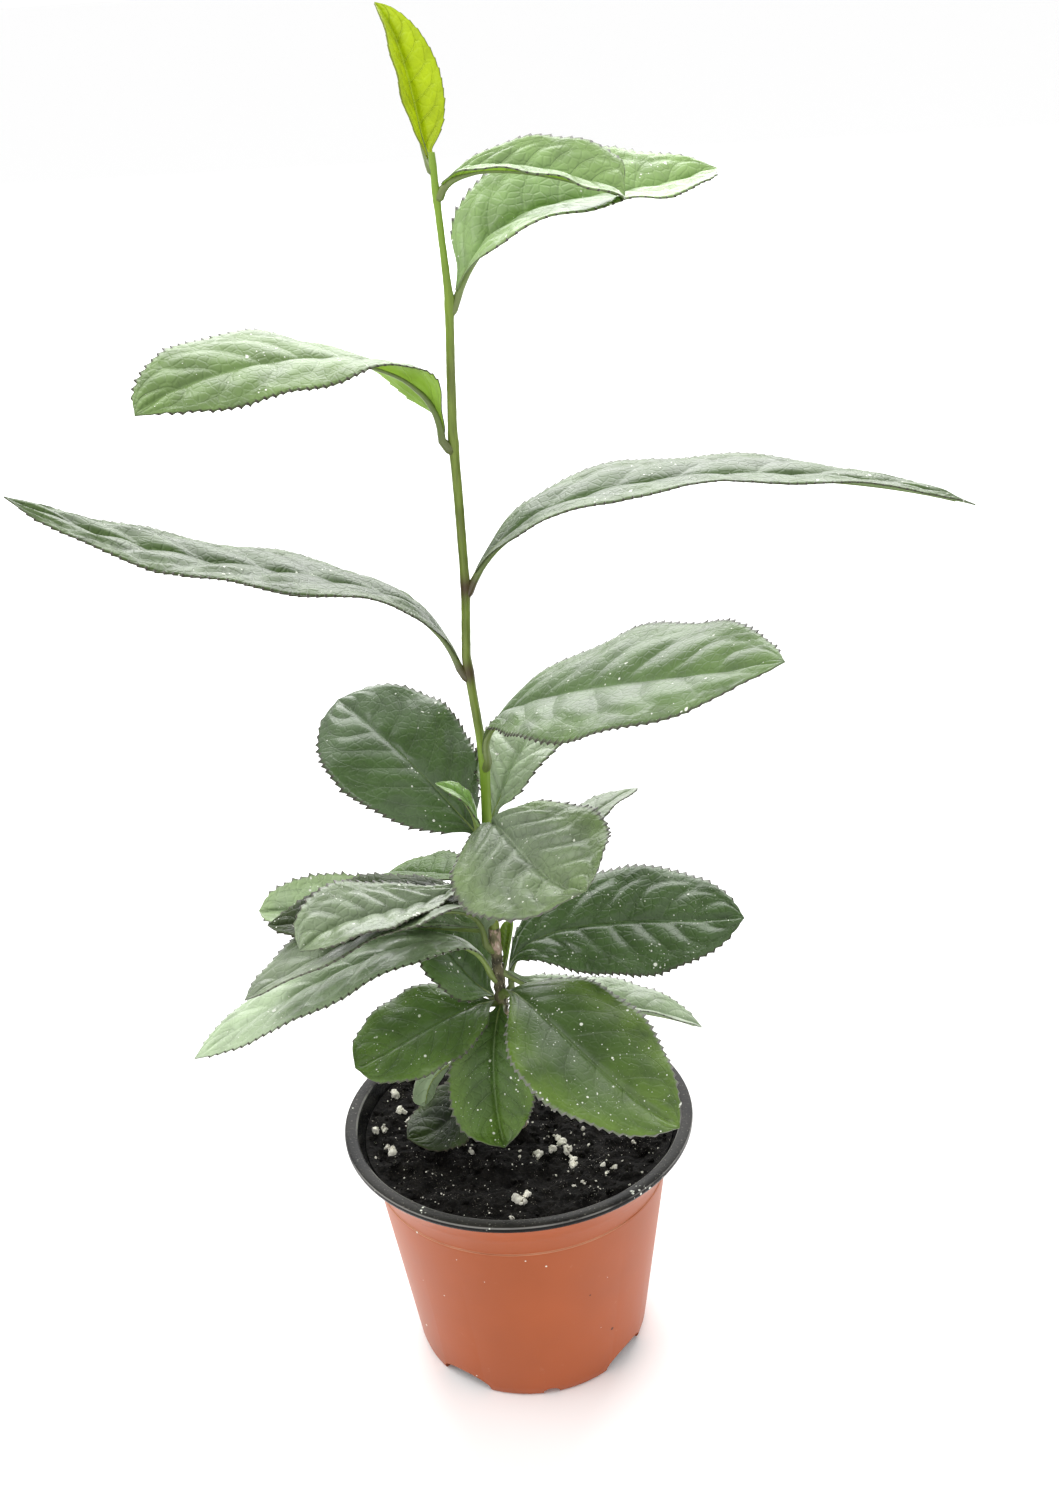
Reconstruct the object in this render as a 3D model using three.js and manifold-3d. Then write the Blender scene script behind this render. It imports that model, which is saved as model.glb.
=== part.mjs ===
// A young tea plant (Camellia sinensis) in a round terracotta-coloured nursery pot.
// Millimetres, +Z up, origin in the middle of the pot's flat underside.
// The plant is one upright stem with alternate leaves. Every leaf is a thin closed blade with its
// own name: a petiole that widens into the blade, a ridge along the midrib and a sharp margin.
import * as THREE from "three";
import { mergeVertices } from "three/addons/utils/BufferGeometryUtils.js";
import Module from "manifold-3d";

const wasm = await Module();
wasm.setup();

// ---- driving dimensions ----
const GAP = 0.3; // clearance between pieces that touch
const ROUND = 48; // sides of a turned piece

const POT_HEIGHT = 78.5;
const RIM_RADIUS = 52.5; // outside of the rolled rim
const RIM_HEIGHT = 2.2; // face of the rolled rim
const RIM_TOP = 3.4; // width of its flat top
const SHOULDER_RADIUS = 44; // where the flared collar meets the straight wall
const SHOULDER_HEIGHT = 62;
const FOOT_RADIUS = 35.2;
const WALL = 1.6;
const FLOOR = 2.5;
const LINER = 1.1; // black inner skin that ends in the rolled rim
const LINER_FOOT = 24; // lower edge of that skin
const FLARE_GAP = 0.5; // level distance that keeps the clearance where the collar slopes

const SOIL_LEVEL = 74.5; // where the soil meets the flared skin
const SOIL_DIP = 1; // the middle lies this much below the edge

const NOTCH = { count: 4, turn: 52.5, width: 17.5, height: 5.6 }; // wide drain arches in the foot
const WEEP = { count: 4, turn: 7.5, width: 5, height: 2.1 }; // small arches between them

const STEM_SIDES = 8;
const WOOD_TOP = 143; // the brown wood ends and the green shoot begins
const SHOOT_TOP = 355;
const PETIOLE = { width: 2.2, over: 0.55, under: 0.8 };
const RIDGE = { over: 0.3, under: 0.45 }; // half thicknesses along the blade's midrib

// ---- materials ----
const plain = (color, roughness) => new THREE.MeshStandardMaterial({ color, roughness, metalness: 0 });
const TERRACOTTA = plain("#b9603f", 0.7);
const BLACK_PLASTIC = plain("#3a3a3c", 0.6);
const PEAT = plain("#1f1713", 0.95);
const BARK = plain("#7a6250", 0.9);
const GREEN_BARK = plain("#7d9440", 0.6);
const LEAF_GREEN = plain("#4c7040", 0.5);
const LEAF_DARK = plain("#34502f", 0.45);
const LEAF_PALE = plain("#8fa578", 0.5);
const LEAF_YOUNG = plain("#a9c21f", 0.5);

// ---- helpers ----
const radians = THREE.MathUtils.degToRad;
const compass = (azimuth) => new THREE.Vector3(Math.cos(radians(azimuth)), Math.sin(radians(azimuth)), 0);

// A profile of [radius, height] pairs turned about the Z axis.
function turned(profile) {
  const points = profile.map(([radius, height]) => new THREE.Vector2(radius, height));
  return new THREE.LatheGeometry(points, ROUND).rotateX(Math.PI / 2);
}

function solidOf(geometry) {
  const bare = new THREE.BufferGeometry();
  bare.setAttribute("position", geometry.getAttribute("position"));
  bare.setIndex(geometry.getIndex());
  const merged = mergeVertices(bare, 1e-3);
  return new wasm.Manifold(
    new wasm.Mesh({
      numProp: 3,
      vertProperties: merged.getAttribute("position").array,
      triVerts: new Uint32Array(merged.getIndex().array),
    }),
  );
}

function geometryOf(solid) {
  const { vertProperties, triVerts } = solid.getMesh();
  const geometry = new THREE.BufferGeometry();
  geometry.setAttribute("position", new THREE.BufferAttribute(vertProperties, 3));
  geometry.setIndex(new THREE.BufferAttribute(triVerts, 1));
  return geometry;
}

function named(name, geometry, material) {
  const mesh = new THREE.Mesh(geometry, material);
  mesh.name = name;
  return mesh;
}

// A closed skin over rings of points that run from a first to a last cap point. All rings have the
// same number of corners, given turning left-handed about the way the rings advance.
function skinned(first, rings, last) {
  const corners = rings[0].length;
  const points = [first, ...rings.flat(), last];
  const faces = [];
  const at = (ring, corner) => 1 + ring * corners + (corner % corners);
  for (let corner = 0; corner < corners; corner++) {
    faces.push(0, at(0, corner), at(0, corner + 1));
    for (let ring = 0; ring + 1 < rings.length; ring++) {
      const here = [at(ring, corner), at(ring, corner + 1)];
      const next = [at(ring + 1, corner), at(ring + 1, corner + 1)];
      // The diagonals mirror each other, so that the two faces of a twisted blade stay parallel.
      if (corner % 2 === 0) faces.push(here[0], next[0], next[1], here[0], next[1], here[1]);
      else faces.push(here[0], next[0], here[1], next[0], next[1], here[1]);
    }
    faces.push(at(rings.length - 1, corner), points.length - 1, at(rings.length - 1, corner + 1));
  }
  const geometry = new THREE.BufferGeometry().setFromPoints(points);
  geometry.setIndex(faces);
  return geometry;
}

// ---- pot ----
// An arch-topped cutter that points outwards along X, from inside the foot to past the wall.
function archCutter({ width, height }, azimuth) {
  const half = width / 2;
  const arch = new THREE.Shape();
  arch.moveTo(-half, -1);
  arch.lineTo(half, -1);
  arch.lineTo(half, height * 0.25);
  arch.absellipse(0, height * 0.25, half, height * 0.75, 0, Math.PI, false, 0);
  arch.closePath();
  const reach = 14;
  const cutter = new THREE.ExtrudeGeometry(arch, { depth: reach, bevelEnabled: false, curveSegments: 8 });
  // The shape's X becomes the tangent, its Y becomes up and its depth points outwards.
  cutter.applyMatrix4(
    new THREE.Matrix4().makeBasis(
      new THREE.Vector3(0, 1, 0),
      new THREE.Vector3(0, 0, 1),
      new THREE.Vector3(1, 0, 0),
    ),
  );
  cutter.translate(FOOT_RADIUS - reach + 3, 0, 0);
  return cutter.rotateZ(radians(azimuth));
}

const COLLAR_TOP = POT_HEIGHT - RIM_HEIGHT;
const COLLAR = [
  [SHOULDER_RADIUS + 1, SHOULDER_HEIGHT + 4],
  [SHOULDER_RADIUS + 3.3, SHOULDER_HEIGHT + 8],
  [SHOULDER_RADIUS + 6, SHOULDER_HEIGHT + 12],
  [SHOULDER_RADIUS + 7, COLLAR_TOP - GAP],
];
const WALL_FOOT = [FOOT_RADIUS + 0.7, 3.5]; // the straight wall starts here

// The inside of the straight wall, less the clearance, at a height.
function besideWall(height) {
  const share = (height - WALL_FOOT[1]) / (SHOULDER_HEIGHT - WALL_FOOT[1]);
  return THREE.MathUtils.lerp(WALL_FOOT[0], SHOULDER_RADIUS, share) - WALL - GAP;
}

function pot() {
  const outer = [
    [0, 0],
    [FOOT_RADIUS - 1.4, 0],
    [FOOT_RADIUS, 1],
    WALL_FOOT,
    [SHOULDER_RADIUS, SHOULDER_HEIGHT],
    ...COLLAR,
  ];
  const inner = [
    ...COLLAR.map(([radius, height]) => [radius - WALL, height]).reverse(),
    [SHOULDER_RADIUS - WALL, SHOULDER_HEIGHT],
    [WALL_FOOT[0] - WALL, WALL_FOOT[1]],
    [FOOT_RADIUS - 1.6, FLOOR],
    [0, FLOOR],
  ];
  let solid = solidOf(turned([...outer, ...inner]));
  for (const drain of [NOTCH, WEEP]) {
    for (let i = 0; i < drain.count; i++) {
      solid = solid.subtract(solidOf(archCutter(drain, drain.turn + (i * 360) / drain.count)));
    }
  }
  return named("pot", geometryOf(solid), TERRACOTTA);
}

// The black skin lines the wall and folds out over the collar as the rolled rim.
function linerAndRim() {
  const outside = [
    [besideWall(LINER_FOOT), LINER_FOOT],
    [besideWall(SHOULDER_HEIGHT), SHOULDER_HEIGHT],
    ...COLLAR.map(([radius, height]) => [radius - WALL - FLARE_GAP, height]),
  ];
  const rim = [
    [RIM_RADIUS - 3, COLLAR_TOP],
    [RIM_RADIUS - 0.5, COLLAR_TOP],
    [RIM_RADIUS, COLLAR_TOP + 0.6],
    [RIM_RADIUS, POT_HEIGHT - 0.6],
    [RIM_RADIUS - 0.6, POT_HEIGHT],
    [RIM_RADIUS - RIM_TOP, POT_HEIGHT],
    [RIM_RADIUS - RIM_TOP - 0.7, POT_HEIGHT - 0.8],
  ];
  const inside = outside.map(([radius, height]) => [radius - LINER, height]).reverse();
  return named("liner_and_rim", turned([...outside, ...rim, ...inside, outside[0]]), BLACK_PLASTIC);
}

function soil() {
  const inset = WALL + LINER + 2 * FLARE_GAP;
  const [lower, upper] = COLLAR.slice(2);
  const share = (SOIL_LEVEL - lower[1]) / (upper[1] - lower[1]);
  const profile = [
    [0, FLOOR + GAP],
    [FOOT_RADIUS - 10, FLOOR + GAP],
    [besideWall(12), 12],
    [besideWall(LINER_FOOT - 2), LINER_FOOT - 2],
    [besideWall(LINER_FOOT) - LINER - GAP, LINER_FOOT],
    [besideWall(SHOULDER_HEIGHT) - LINER - GAP, SHOULDER_HEIGHT],
    ...COLLAR.slice(0, 3).map(([radius, height]) => [radius - inset, height]),
    [THREE.MathUtils.lerp(lower[0], upper[0], share) - inset, SOIL_LEVEL],
    [SHOULDER_RADIUS / 2, SOIL_LEVEL - SOIL_DIP * 0.75],
    [0, SOIL_LEVEL - SOIL_DIP],
  ];
  return named("soil", turned(profile), PEAT);
}

// ---- stem ----
// The stem's line and thickness: [height, sideways, radius]. It zigzags a little from node to node.
const STEM = [
  [SOIL_LEVEL - SOIL_DIP + GAP, -0.3, 2.5],
  [79, -0.5, 1.9],
  [87, -0.9, 1.7],
  [113, -2.3, 1.5],
  [134, -2.8, 1.35],
  [WOOD_TOP, -2.9, 1.3],
  [180, -2.5, 1.3],
  [196, -1.9, 1.3],
  [205, -2.7, 1.15],
  [227, -4.6, 1.15],
  [246, -3.3, 1.1],
  [270, -3.3, 1.15],
  [287, -3.5, 1.15],
  [305, -2.6, 1.05],
  [321, -1.7, 1.0],
  [333, -2.3, 0.8],
  [346, -2.9, 0.8],
  [SHOOT_TOP, -3.2, 0.7],
];

function stemAt(height) {
  const next = Math.max(1, STEM.findIndex(([level]) => level >= height));
  const [z0, x0, r0] = STEM[next - 1];
  const [z1, x1, r1] = STEM[next];
  const share = (height - z0) / (z1 - z0);
  return {
    centre: new THREE.Vector3(THREE.MathUtils.lerp(x0, x1, share), 0, height),
    radius: THREE.MathUtils.lerp(r0, r1, share),
  };
}

function stemPiece(name, from, to, material) {
  const levels = [from, ...STEM.map(([level]) => level).filter((level) => level > from && level < to), to];
  const rings = levels.map((level) => {
    const { centre, radius } = stemAt(level);
    const ring = [];
    for (let side = 0; side < STEM_SIDES; side++) {
      ring.push(compass((-side * 360) / STEM_SIDES).multiplyScalar(radius).add(centre));
    }
    return ring;
  });
  return named(name, skinned(stemAt(from).centre, rings, stemAt(to).centre), material);
}

// ---- leaves ----
// Where the blade's cross-sections lie, as shares of the way from the foot to the tip.
const STATIONS = [0.035, 0.08, 0.14, 0.22, 0.31, 0.41, 0.51, 0.61, 0.71, 0.8, 0.88, 0.95];
const PETIOLE_END = 0.07;
const smooth = THREE.MathUtils.smoothstep;

// A leaf springs from the stem at height z and runs towards its azimuth (0 is +X, 90 is +Y).
// reach and lift place its tip from its foot, level and upwards. rise and fall are the slopes of
// the midrib at the foot and at the tip, and lead and trail say how long those slopes are held.
// bow swings the middle sideways, to the left as seen from the stem. width is the widest breadth,
// at the share widest of the blade, and taper sharpens both ends. pinch narrows the left half near
// the foot, or the right half where it is negative. roll lifts the left margin, twist adds to it
// towards the tip, and fold lifts both margins. root is the side of the stem it springs from, where
// that isn't its azimuth. Angles are in degrees.
const LEAF = {
  rise: 35, fall: -15, lead: 0.4, trail: 0.35, bow: 0,
  widest: 0.48, taper: 1.6, pinch: 0, roll: 0, twist: 0, fold: 8,
};

const LEAVES = [
  { name: "leaf_top", look: LEAF_YOUNG, z: 353, azimuth: 124, reach: 19, lift: 35, width: 15,
    rise: 41, fall: 45, lead: 0.31, bow: -2, widest: 0.45, twist: 2, fold: 38 },
  { name: "leaf_young_right", look: LEAF_PALE, z: 347, azimuth: 359, reach: 44, lift: -4.6, width: 24,
    rise: 50, fall: -24, lead: 0.28, trail: 0.2, bow: -1, widest: 0.68, taper: 1.3, pinch: 0.4,
    roll: 19, twist: 7, fold: 24 },
  { name: "leaf_upper_right", look: LEAF_PALE, z: 321, azimuth: 22, reach: 73.7, lift: 23, width: 38,
    rise: 66, fall: 14, trail: 0.46, bow: -1.3, taper: 1.2, roll: 15, twist: 7, fold: 19 },
  { name: "leaf_upper_left", look: LEAF_GREEN, z: 286, azimuth: 208, reach: 78, lift: 20, width: 40,
    rise: 102, fall: -22, lead: 0.37, trail: 0.25, bow: -10, widest: 0.43, taper: 1.75, roll: -6,
    twist: -66, fold: 2 },
  { name: "leaf_long_right", look: LEAF_PALE, z: 248, azimuth: 1, reach: 132.7, lift: 11, width: 38,
    rise: 63, fall: -22, lead: 0.31, trail: 0.23, bow: -1, widest: 0.38, roll: -4, twist: -7, fold: 7 },
  { name: "leaf_long_left", look: LEAF_PALE, z: 224, azimuth: 184, reach: 110.7, lift: 57, width: 42,
    rise: 74, fall: 35, lead: 0.3, trail: 0.49, bow: -1.5, roll: 6, twist: -15, fold: 2 },
  { name: "leaf_high_front", look: LEAF_GREEN, z: 197, azimuth: 319, reach: 95, lift: 49, width: 49,
    rise: 104, fall: 21, lead: 0.22, bow: -0.8, widest: 0.61, taper: 2.6, pinch: -0.45, roll: 17,
    twist: -4, fold: 3, root: 282 },
  { name: "leaf_rear_right", look: LEAF_PALE, z: 176, azimuth: 60, reach: 42, lift: 17, width: 27,
    rise: 57, fall: -8, trail: 0.38, bow: -1.5, widest: 0.51, roll: -6, twist: 10, fold: 16 },
  { name: "leaf_round_left", look: LEAF_DARK, z: 170, azimuth: 139, reach: 53.5, lift: 32, width: 40,
    rise: 61, fall: 3, lead: 0.34, trail: 0.32, bow: 4.5, widest: 0.53, taper: 1.5, roll: -19,
    twist: -11, fold: 0 },
  { name: "leaf_axil_small", look: LEAF_GREEN, z: 175, azimuth: 196, reach: 11.5, lift: 17, width: 10,
    rise: 78, fall: 5, bow: 4.5, widest: 0.46, roll: -13, fold: 9 },
  { name: "leaf_front_broad", look: LEAF_GREEN, z: 173, azimuth: 294, reach: 59.7, lift: 12, width: 43,
    rise: 64, fall: 29, bow: -3.7, widest: 0.62, taper: 2.3, roll: 20, twist: -2, fold: 5 },
  { name: "leaf_rear_pale", look: LEAF_PALE, z: 168, azimuth: 34, reach: 52, lift: 2, width: 24,
    rise: -24, fall: -6, lead: 0.43, bow: -2, widest: 0.45, roll: -19, twist: -3, fold: 10 },
  { name: "leaf_left_oval", look: LEAF_PALE, z: 163, azimuth: 214, reach: 60, lift: -3, width: 27,
    rise: -23, fall: -24, lead: 0.45, bow: -1, widest: 0.62, taper: 1.9, roll: -4, twist: -12,
    fold: 18 },
  { name: "leaf_rear_left", look: LEAF_GREEN, z: 159, azimuth: 132, reach: 50, lift: -18, width: 25,
    rise: -17, fall: -35, trail: 0.3, bow: 1, taper: 1.5, roll: 2, twist: -10, fold: 9 },
  { name: "leaf_left_rear", look: LEAF_PALE, z: 143, azimuth: 166, reach: 70, lift: 1, width: 24,
    rise: -2, fall: -5, lead: 0.45, trail: 0.29, widest: 0.53, taper: 1.5, roll: -20, twist: -36,
    fold: 36 },
  { name: "leaf_left_dark", look: LEAF_DARK, z: 154, azimuth: 188, reach: 62, lift: 0, width: 28,
    rise: 17, fall: 2, lead: 0.42, trail: 0.31, bow: 3, roll: -2, twist: -10, fold: 10 },
  { name: "leaf_left_under", look: LEAF_GREEN, z: 139, azimuth: 207, reach: 73, lift: 7, width: 36,
    rise: 90, lead: 0.39, trail: 0.33, bow: 1, taper: 1.5, roll: 13, twist: 3, fold: 13 },
  { name: "leaf_hanging_right", look: LEAF_PALE, z: 129, azimuth: 358, reach: 57, lift: -23, width: 22,
    rise: -37, fall: -34, bow: -2, roll: -10, twist: 10, fold: 23 },
  { name: "leaf_shoot_small", look: LEAF_YOUNG, z: 130, azimuth: 40, reach: 4, lift: 13, width: 6,
    rise: 70, fall: 80, lead: 0.3, widest: 0.7, taper: 2, fold: 40 },
  { name: "leaf_long_front", look: LEAF_PALE, z: 129, azimuth: 200, reach: 88, lift: -3, width: 35,
    rise: 76, fall: -25, lead: 0.36, trail: 0.3, taper: 1.8, roll: 12, twist: -18, fold: 1 },
  { name: "leaf_low_dark", look: LEAF_DARK, z: 119.5, azimuth: 156, reach: 28, lift: 19.5, width: 25,
    rise: 32, fall: -29, lead: 0.33, trail: 0.38, bow: 2, widest: 0.42, taper: 1.4, roll: -15,
    twist: 3, fold: 13 },
  { name: "leaf_big_right", look: LEAF_DARK, z: 123, azimuth: 0, reach: 69, lift: 18, width: 38,
    rise: 96, fall: 11, lead: 0.32, trail: 0.32, bow: 5.7, widest: 0.6, taper: 2.2, roll: 24,
    twist: 3, fold: 1 },
  { name: "leaf_low_right", look: LEAF_GREEN, z: 122, azimuth: 312, reach: 68, lift: -14, width: 42,
    rise: 46, fall: -13, lead: 0.28, bow: -4.5, widest: 0.52, taper: 1.7, pinch: -0.8, roll: 5,
    twist: 6, fold: 6 },
  { name: "leaf_low_left", look: LEAF_GREEN, z: 119, azimuth: 205, reach: 45, lift: -7, width: 30,
    rise: 14, fall: -7, lead: 0.31, trail: 0.32, widest: 0.49, taper: 1.05, roll: -16, twist: -4,
    fold: 2 },
  { name: "leaf_low_front", look: LEAF_GREEN, z: 118.5, azimuth: 267, reach: 26, lift: -31.5, width: 26,
    rise: -7, fall: -2, bow: -2.7, widest: 0.52, taper: 1.2, roll: 8, twist: 1, fold: 21 },
  { name: "leaf_soil_left", look: LEAF_DARK, z: 92, azimuth: 197, reach: 31.5, lift: -13, width: 28,
    rise: -19, fall: 26, lead: 0.37, trail: 0.41, bow: -2.5, taper: 1.4, roll: -1, twist: -8, fold: 4 },
  { name: "leaf_soil_folded", look: LEAF_PALE, z: 100, azimuth: 182, reach: 24.5, lift: -16.5, width: 10,
    rise: 10, fall: -86, lead: 0.5, trail: 0.45, widest: 0.66, taper: 1.2, roll: 56, fold: 9 },
];

function leaf(sizes) {
  const { name, look, z, azimuth, root, reach, lift, width, ...shape } = { ...LEAF, ...sizes };
  const ahead = compass(azimuth);
  const left = compass(azimuth + 90);
  const up = new THREE.Vector3(0, 0, 1);
  const along = (slope, length) =>
    ahead.clone().multiplyScalar(Math.cos(radians(slope)) * length)
      .addScaledVector(up, Math.sin(radians(slope)) * length);

  const { centre, radius } = stemAt(z);
  // A steep petiole starts further out, so that its first cross-section clears the stem.
  const span = Math.hypot(reach, lift);
  const advance = STATIONS[0] * span * Math.max(0, Math.cos(radians(shape.rise)));
  const clear = radius + GAP + Math.max(0, PETIOLE.under * Math.sin(radians(shape.rise)) - advance);
  const foot = centre.clone().addScaledVector(compass(root ?? azimuth), clear);
  const tip = foot.clone().addScaledVector(ahead, reach).addScaledVector(up, lift);
  const swing = left.clone().multiplyScalar((shape.bow * 4) / 3);
  const midrib = new THREE.CubicBezierCurve3(
    foot,
    foot.clone().add(along(shape.rise, shape.lead * span)).add(swing),
    tip.clone().sub(along(shape.fall, shape.trail * span)).add(swing),
    tip,
  );

  const rings = STATIONS.map((share) => {
    const point = midrib.getPoint(share);
    const heading = midrib.getTangent(share);
    const side = left.clone().addScaledVector(heading, -left.dot(heading)).normalize();
    const face = heading.clone().cross(side);
    const tilt = radians(smooth(share, 0, 0.3) * (shape.roll + shape.twist * (share - 0.5)));
    side.applyAxisAngle(heading, tilt);
    face.applyAxisAngle(heading, tilt);

    const blade = Math.max(0, (share - PETIOLE_END) / (1 - PETIOLE_END));
    const swell = (blade / shape.widest) ** (shape.taper * shape.widest);
    const narrow = ((1 - blade) / (1 - shape.widest)) ** (shape.taper * (1 - shape.widest));
    const stalk = 1 - smooth(share, 0.02, 0.3);
    const half = Math.hypot((width / 2) * swell * narrow, (PETIOLE.width / 2) * stalk);
    const thin = 1 - 0.6 * share;
    const over = THREE.MathUtils.lerp(RIDGE.over, PETIOLE.over, stalk) * thin;
    const under = THREE.MathUtils.lerp(RIDGE.under, PETIOLE.under, stalk) * thin;
    const near = 1 - smooth(share, 0.1, 0.55);
    const flap = (sign) => {
      const reach = half * (1 - Math.max(0, sign * shape.pinch) * near);
      return point.clone()
        .addScaledVector(side, sign * reach * Math.cos(radians(shape.fold)))
        .addScaledVector(face, reach * Math.sin(radians(shape.fold)));
    };
    return [
      flap(1),
      point.clone().addScaledVector(face, -under),
      flap(-1),
      point.clone().addScaledVector(face, over),
    ];
  });
  return named(name, skinned(foot, rings, tip), look);
}

// ---- the whole plant ----
const teaPlant = new THREE.Group();
teaPlant.add(pot(), linerAndRim(), soil());
teaPlant.add(stemPiece("stem_woody_base", STEM[0][0], WOOD_TOP, BARK));
teaPlant.add(stemPiece("stem_green_shoot", WOOD_TOP + GAP, SHOOT_TOP, GREEN_BARK));
for (const sizes of LEAVES) teaPlant.add(leaf(sizes));

export default teaPlant;
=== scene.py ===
"""The looks of a young tea plant in a nursery pot, modelled in metres round its fixed frame.

Every leaf, the two lengths of stem, the pot, its black skin and the soil are pieces of their own.
"""

import math
import random
from types import SimpleNamespace

import bmesh
import bpy
import numpy as np
from bpy.props import FloatProperty, FloatVectorProperty, IntProperty, PointerProperty
from mathutils import Matrix, Vector


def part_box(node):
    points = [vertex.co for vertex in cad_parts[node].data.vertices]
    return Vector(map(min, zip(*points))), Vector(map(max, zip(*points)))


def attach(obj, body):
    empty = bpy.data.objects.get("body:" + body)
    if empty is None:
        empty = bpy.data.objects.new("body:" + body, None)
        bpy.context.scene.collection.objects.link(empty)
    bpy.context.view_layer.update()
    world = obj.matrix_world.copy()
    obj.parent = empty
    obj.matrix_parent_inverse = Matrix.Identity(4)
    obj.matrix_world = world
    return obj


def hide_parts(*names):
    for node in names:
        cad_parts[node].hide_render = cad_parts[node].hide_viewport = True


bl_info = {
    "name": "Potted Tea Plant",
    "version": (1, 0, 0),
    "blender": (4, 5, 0),
    "location": "View3D > Sidebar > Tea Plant",
    "description": "Models a young tea plant in a nursery pot round its fixed frame",
    "category": "Add Mesh",
}

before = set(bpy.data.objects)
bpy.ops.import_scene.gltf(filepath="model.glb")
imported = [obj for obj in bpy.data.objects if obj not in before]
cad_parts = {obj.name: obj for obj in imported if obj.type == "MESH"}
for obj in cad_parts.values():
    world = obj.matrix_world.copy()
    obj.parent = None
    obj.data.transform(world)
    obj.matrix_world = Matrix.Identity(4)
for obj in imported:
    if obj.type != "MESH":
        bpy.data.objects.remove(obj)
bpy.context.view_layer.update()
MM = 0.001  # one millimetre, in metres
MERGE = 0.01 * MM  # points nearer than this are one
TINY = 1e-12  # keeps a vector of no length from being divided by nothing
NOISE_CELLS = 64  # cells along each side of a table of noise, before it repeats
RING = 4  # corners in each ring of a CAD leaf between its foot and its tip

STEMS = ("stem_woody_base", "stem_green_shoot")
HEIGHT, X, Y, RADIUS = range(4)  # the columns of the stem's line


# ---- reading the frame ----
def merged_copy(node):
    """The mesh of a CAD node with its doubles merged."""
    copy = bmesh.new()
    copy.from_mesh(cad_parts[node].data)
    bmesh.ops.remove_doubles(copy, verts=copy.verts, dist=MERGE)
    return copy


def linked(vertex):
    """The vertices at the other ends of a vertex's edges."""
    return {edge.other_vert(vertex) for edge in vertex.link_edges}


def spread(vertex):
    """The vertices in rings round a first one, as lists, nearest first."""
    rings = [[vertex]]
    seen = {vertex}
    while True:
        ring = []
        for here in rings[-1]:
            for there in sorted(linked(here) - seen, key=lambda v: v.index):
                seen.add(there)
                ring.append(there)
        if not ring:
            return rings
        rings.append(ring)


def stem_line():
    """The stem's levels as rows of [height, x, y, radius], from the soil to the top."""
    rows = []
    for node in STEMS:
        mesh = merged_copy(node)
        levels = {}
        for vertex in mesh.verts:
            levels.setdefault(round(vertex.co.z / MERGE), []).append(np.array(vertex.co))
        for points in levels.values():
            points = np.array(points)
            centre = points.mean(0)
            reach = np.linalg.norm(points[:, :2] - centre[:2], axis=1).max()
            rows.append([centre[2], centre[0], centre[1], reach])
        mesh.free()
    return np.array(sorted(rows))


STEM = stem_line()


def on_the_stem(heights, *columns):
    """Columns of the stem's line at one height or many."""
    return [np.interp(heights, STEM[:, HEIGHT], STEM[:, column]) for column in columns]


def off_the_stem(point):
    """How far a point lies from the middle of the stem, level."""
    return math.dist(point[:2], on_the_stem(point[2], X, Y))


def leaf_lines(node):
    """The middle, left and right lines of a CAD leaf, each from its foot on the stem to its tip."""
    mesh = merged_copy(node)
    ends = []
    for vertex in mesh.verts:
        rings = spread(vertex)
        if all(len(ring) == RING for ring in rings[1:-1]) and len(rings[-1]) == 1:
            ends.append(rings)
    rings = min(ends, key=lambda found: off_the_stem(found[0][0].co))
    foot = np.array(rings[0][0].co)
    tip = np.array(rings[-1][0].co)
    ahead = (tip - foot) * (1, 1, 0)
    leftwards = np.cross((0, 0, 1), ahead)

    middle, left, right = [foot], [foot], [foot]
    last = None
    for ring in rings[1:-1]:
        across = next(v for v in ring[1:] if v not in linked(ring[0]))
        pairs = [(ring[0], across), tuple(v for v in ring[1:] if v is not across)]
        pairs.sort(key=lambda pair: (pair[0].co - pair[1].co).length)
        ridge, margins = pairs
        if last is None:
            first_is_left = np.dot(margins[0].co - margins[1].co, leftwards) > 0
        else:
            first_is_left = margins[0] in linked(last)
        near, far = margins if first_is_left else margins[::-1]
        last = near
        middle.append((np.array(ridge[0].co) + np.array(ridge[1].co)) / 2)
        left.append(np.array(near.co))
        right.append(np.array(far.co))
    mesh.free()
    return tuple(np.array(line + [tip]) for line in (middle, left, right))


def smooth_through(knots, values, at):
    """Values on a curve that runs smoothly through each knot."""
    slopes = np.gradient(values, knots, axis=0)
    index = np.clip(np.searchsorted(knots, at) - 1, 0, len(knots) - 2)
    width = (knots[index + 1] - knots[index])[:, None]
    t = (at - knots[index])[:, None] / width
    start, end = values[index], values[index + 1]
    leave, arrive = slopes[index] * width, slopes[index + 1] * width
    return (
        start * (2 * t**3 - 3 * t**2 + 1)
        + leave * (t**3 - 2 * t**2 + t)
        + end * (3 * t**2 - 2 * t**3)
        + arrive * (t**3 - t**2)
    )


# ---- modelling helpers ----
def ramp(value, low, high):
    """0 below low, 1 above high and a smooth rise between them."""
    t = np.clip((value - low) / (high - low), 0, 1)
    return t * t * (3 - 2 * t)


def unit(vectors):
    return vectors / np.maximum(np.linalg.norm(vectors, axis=-1, keepdims=True), TINY)


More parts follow.
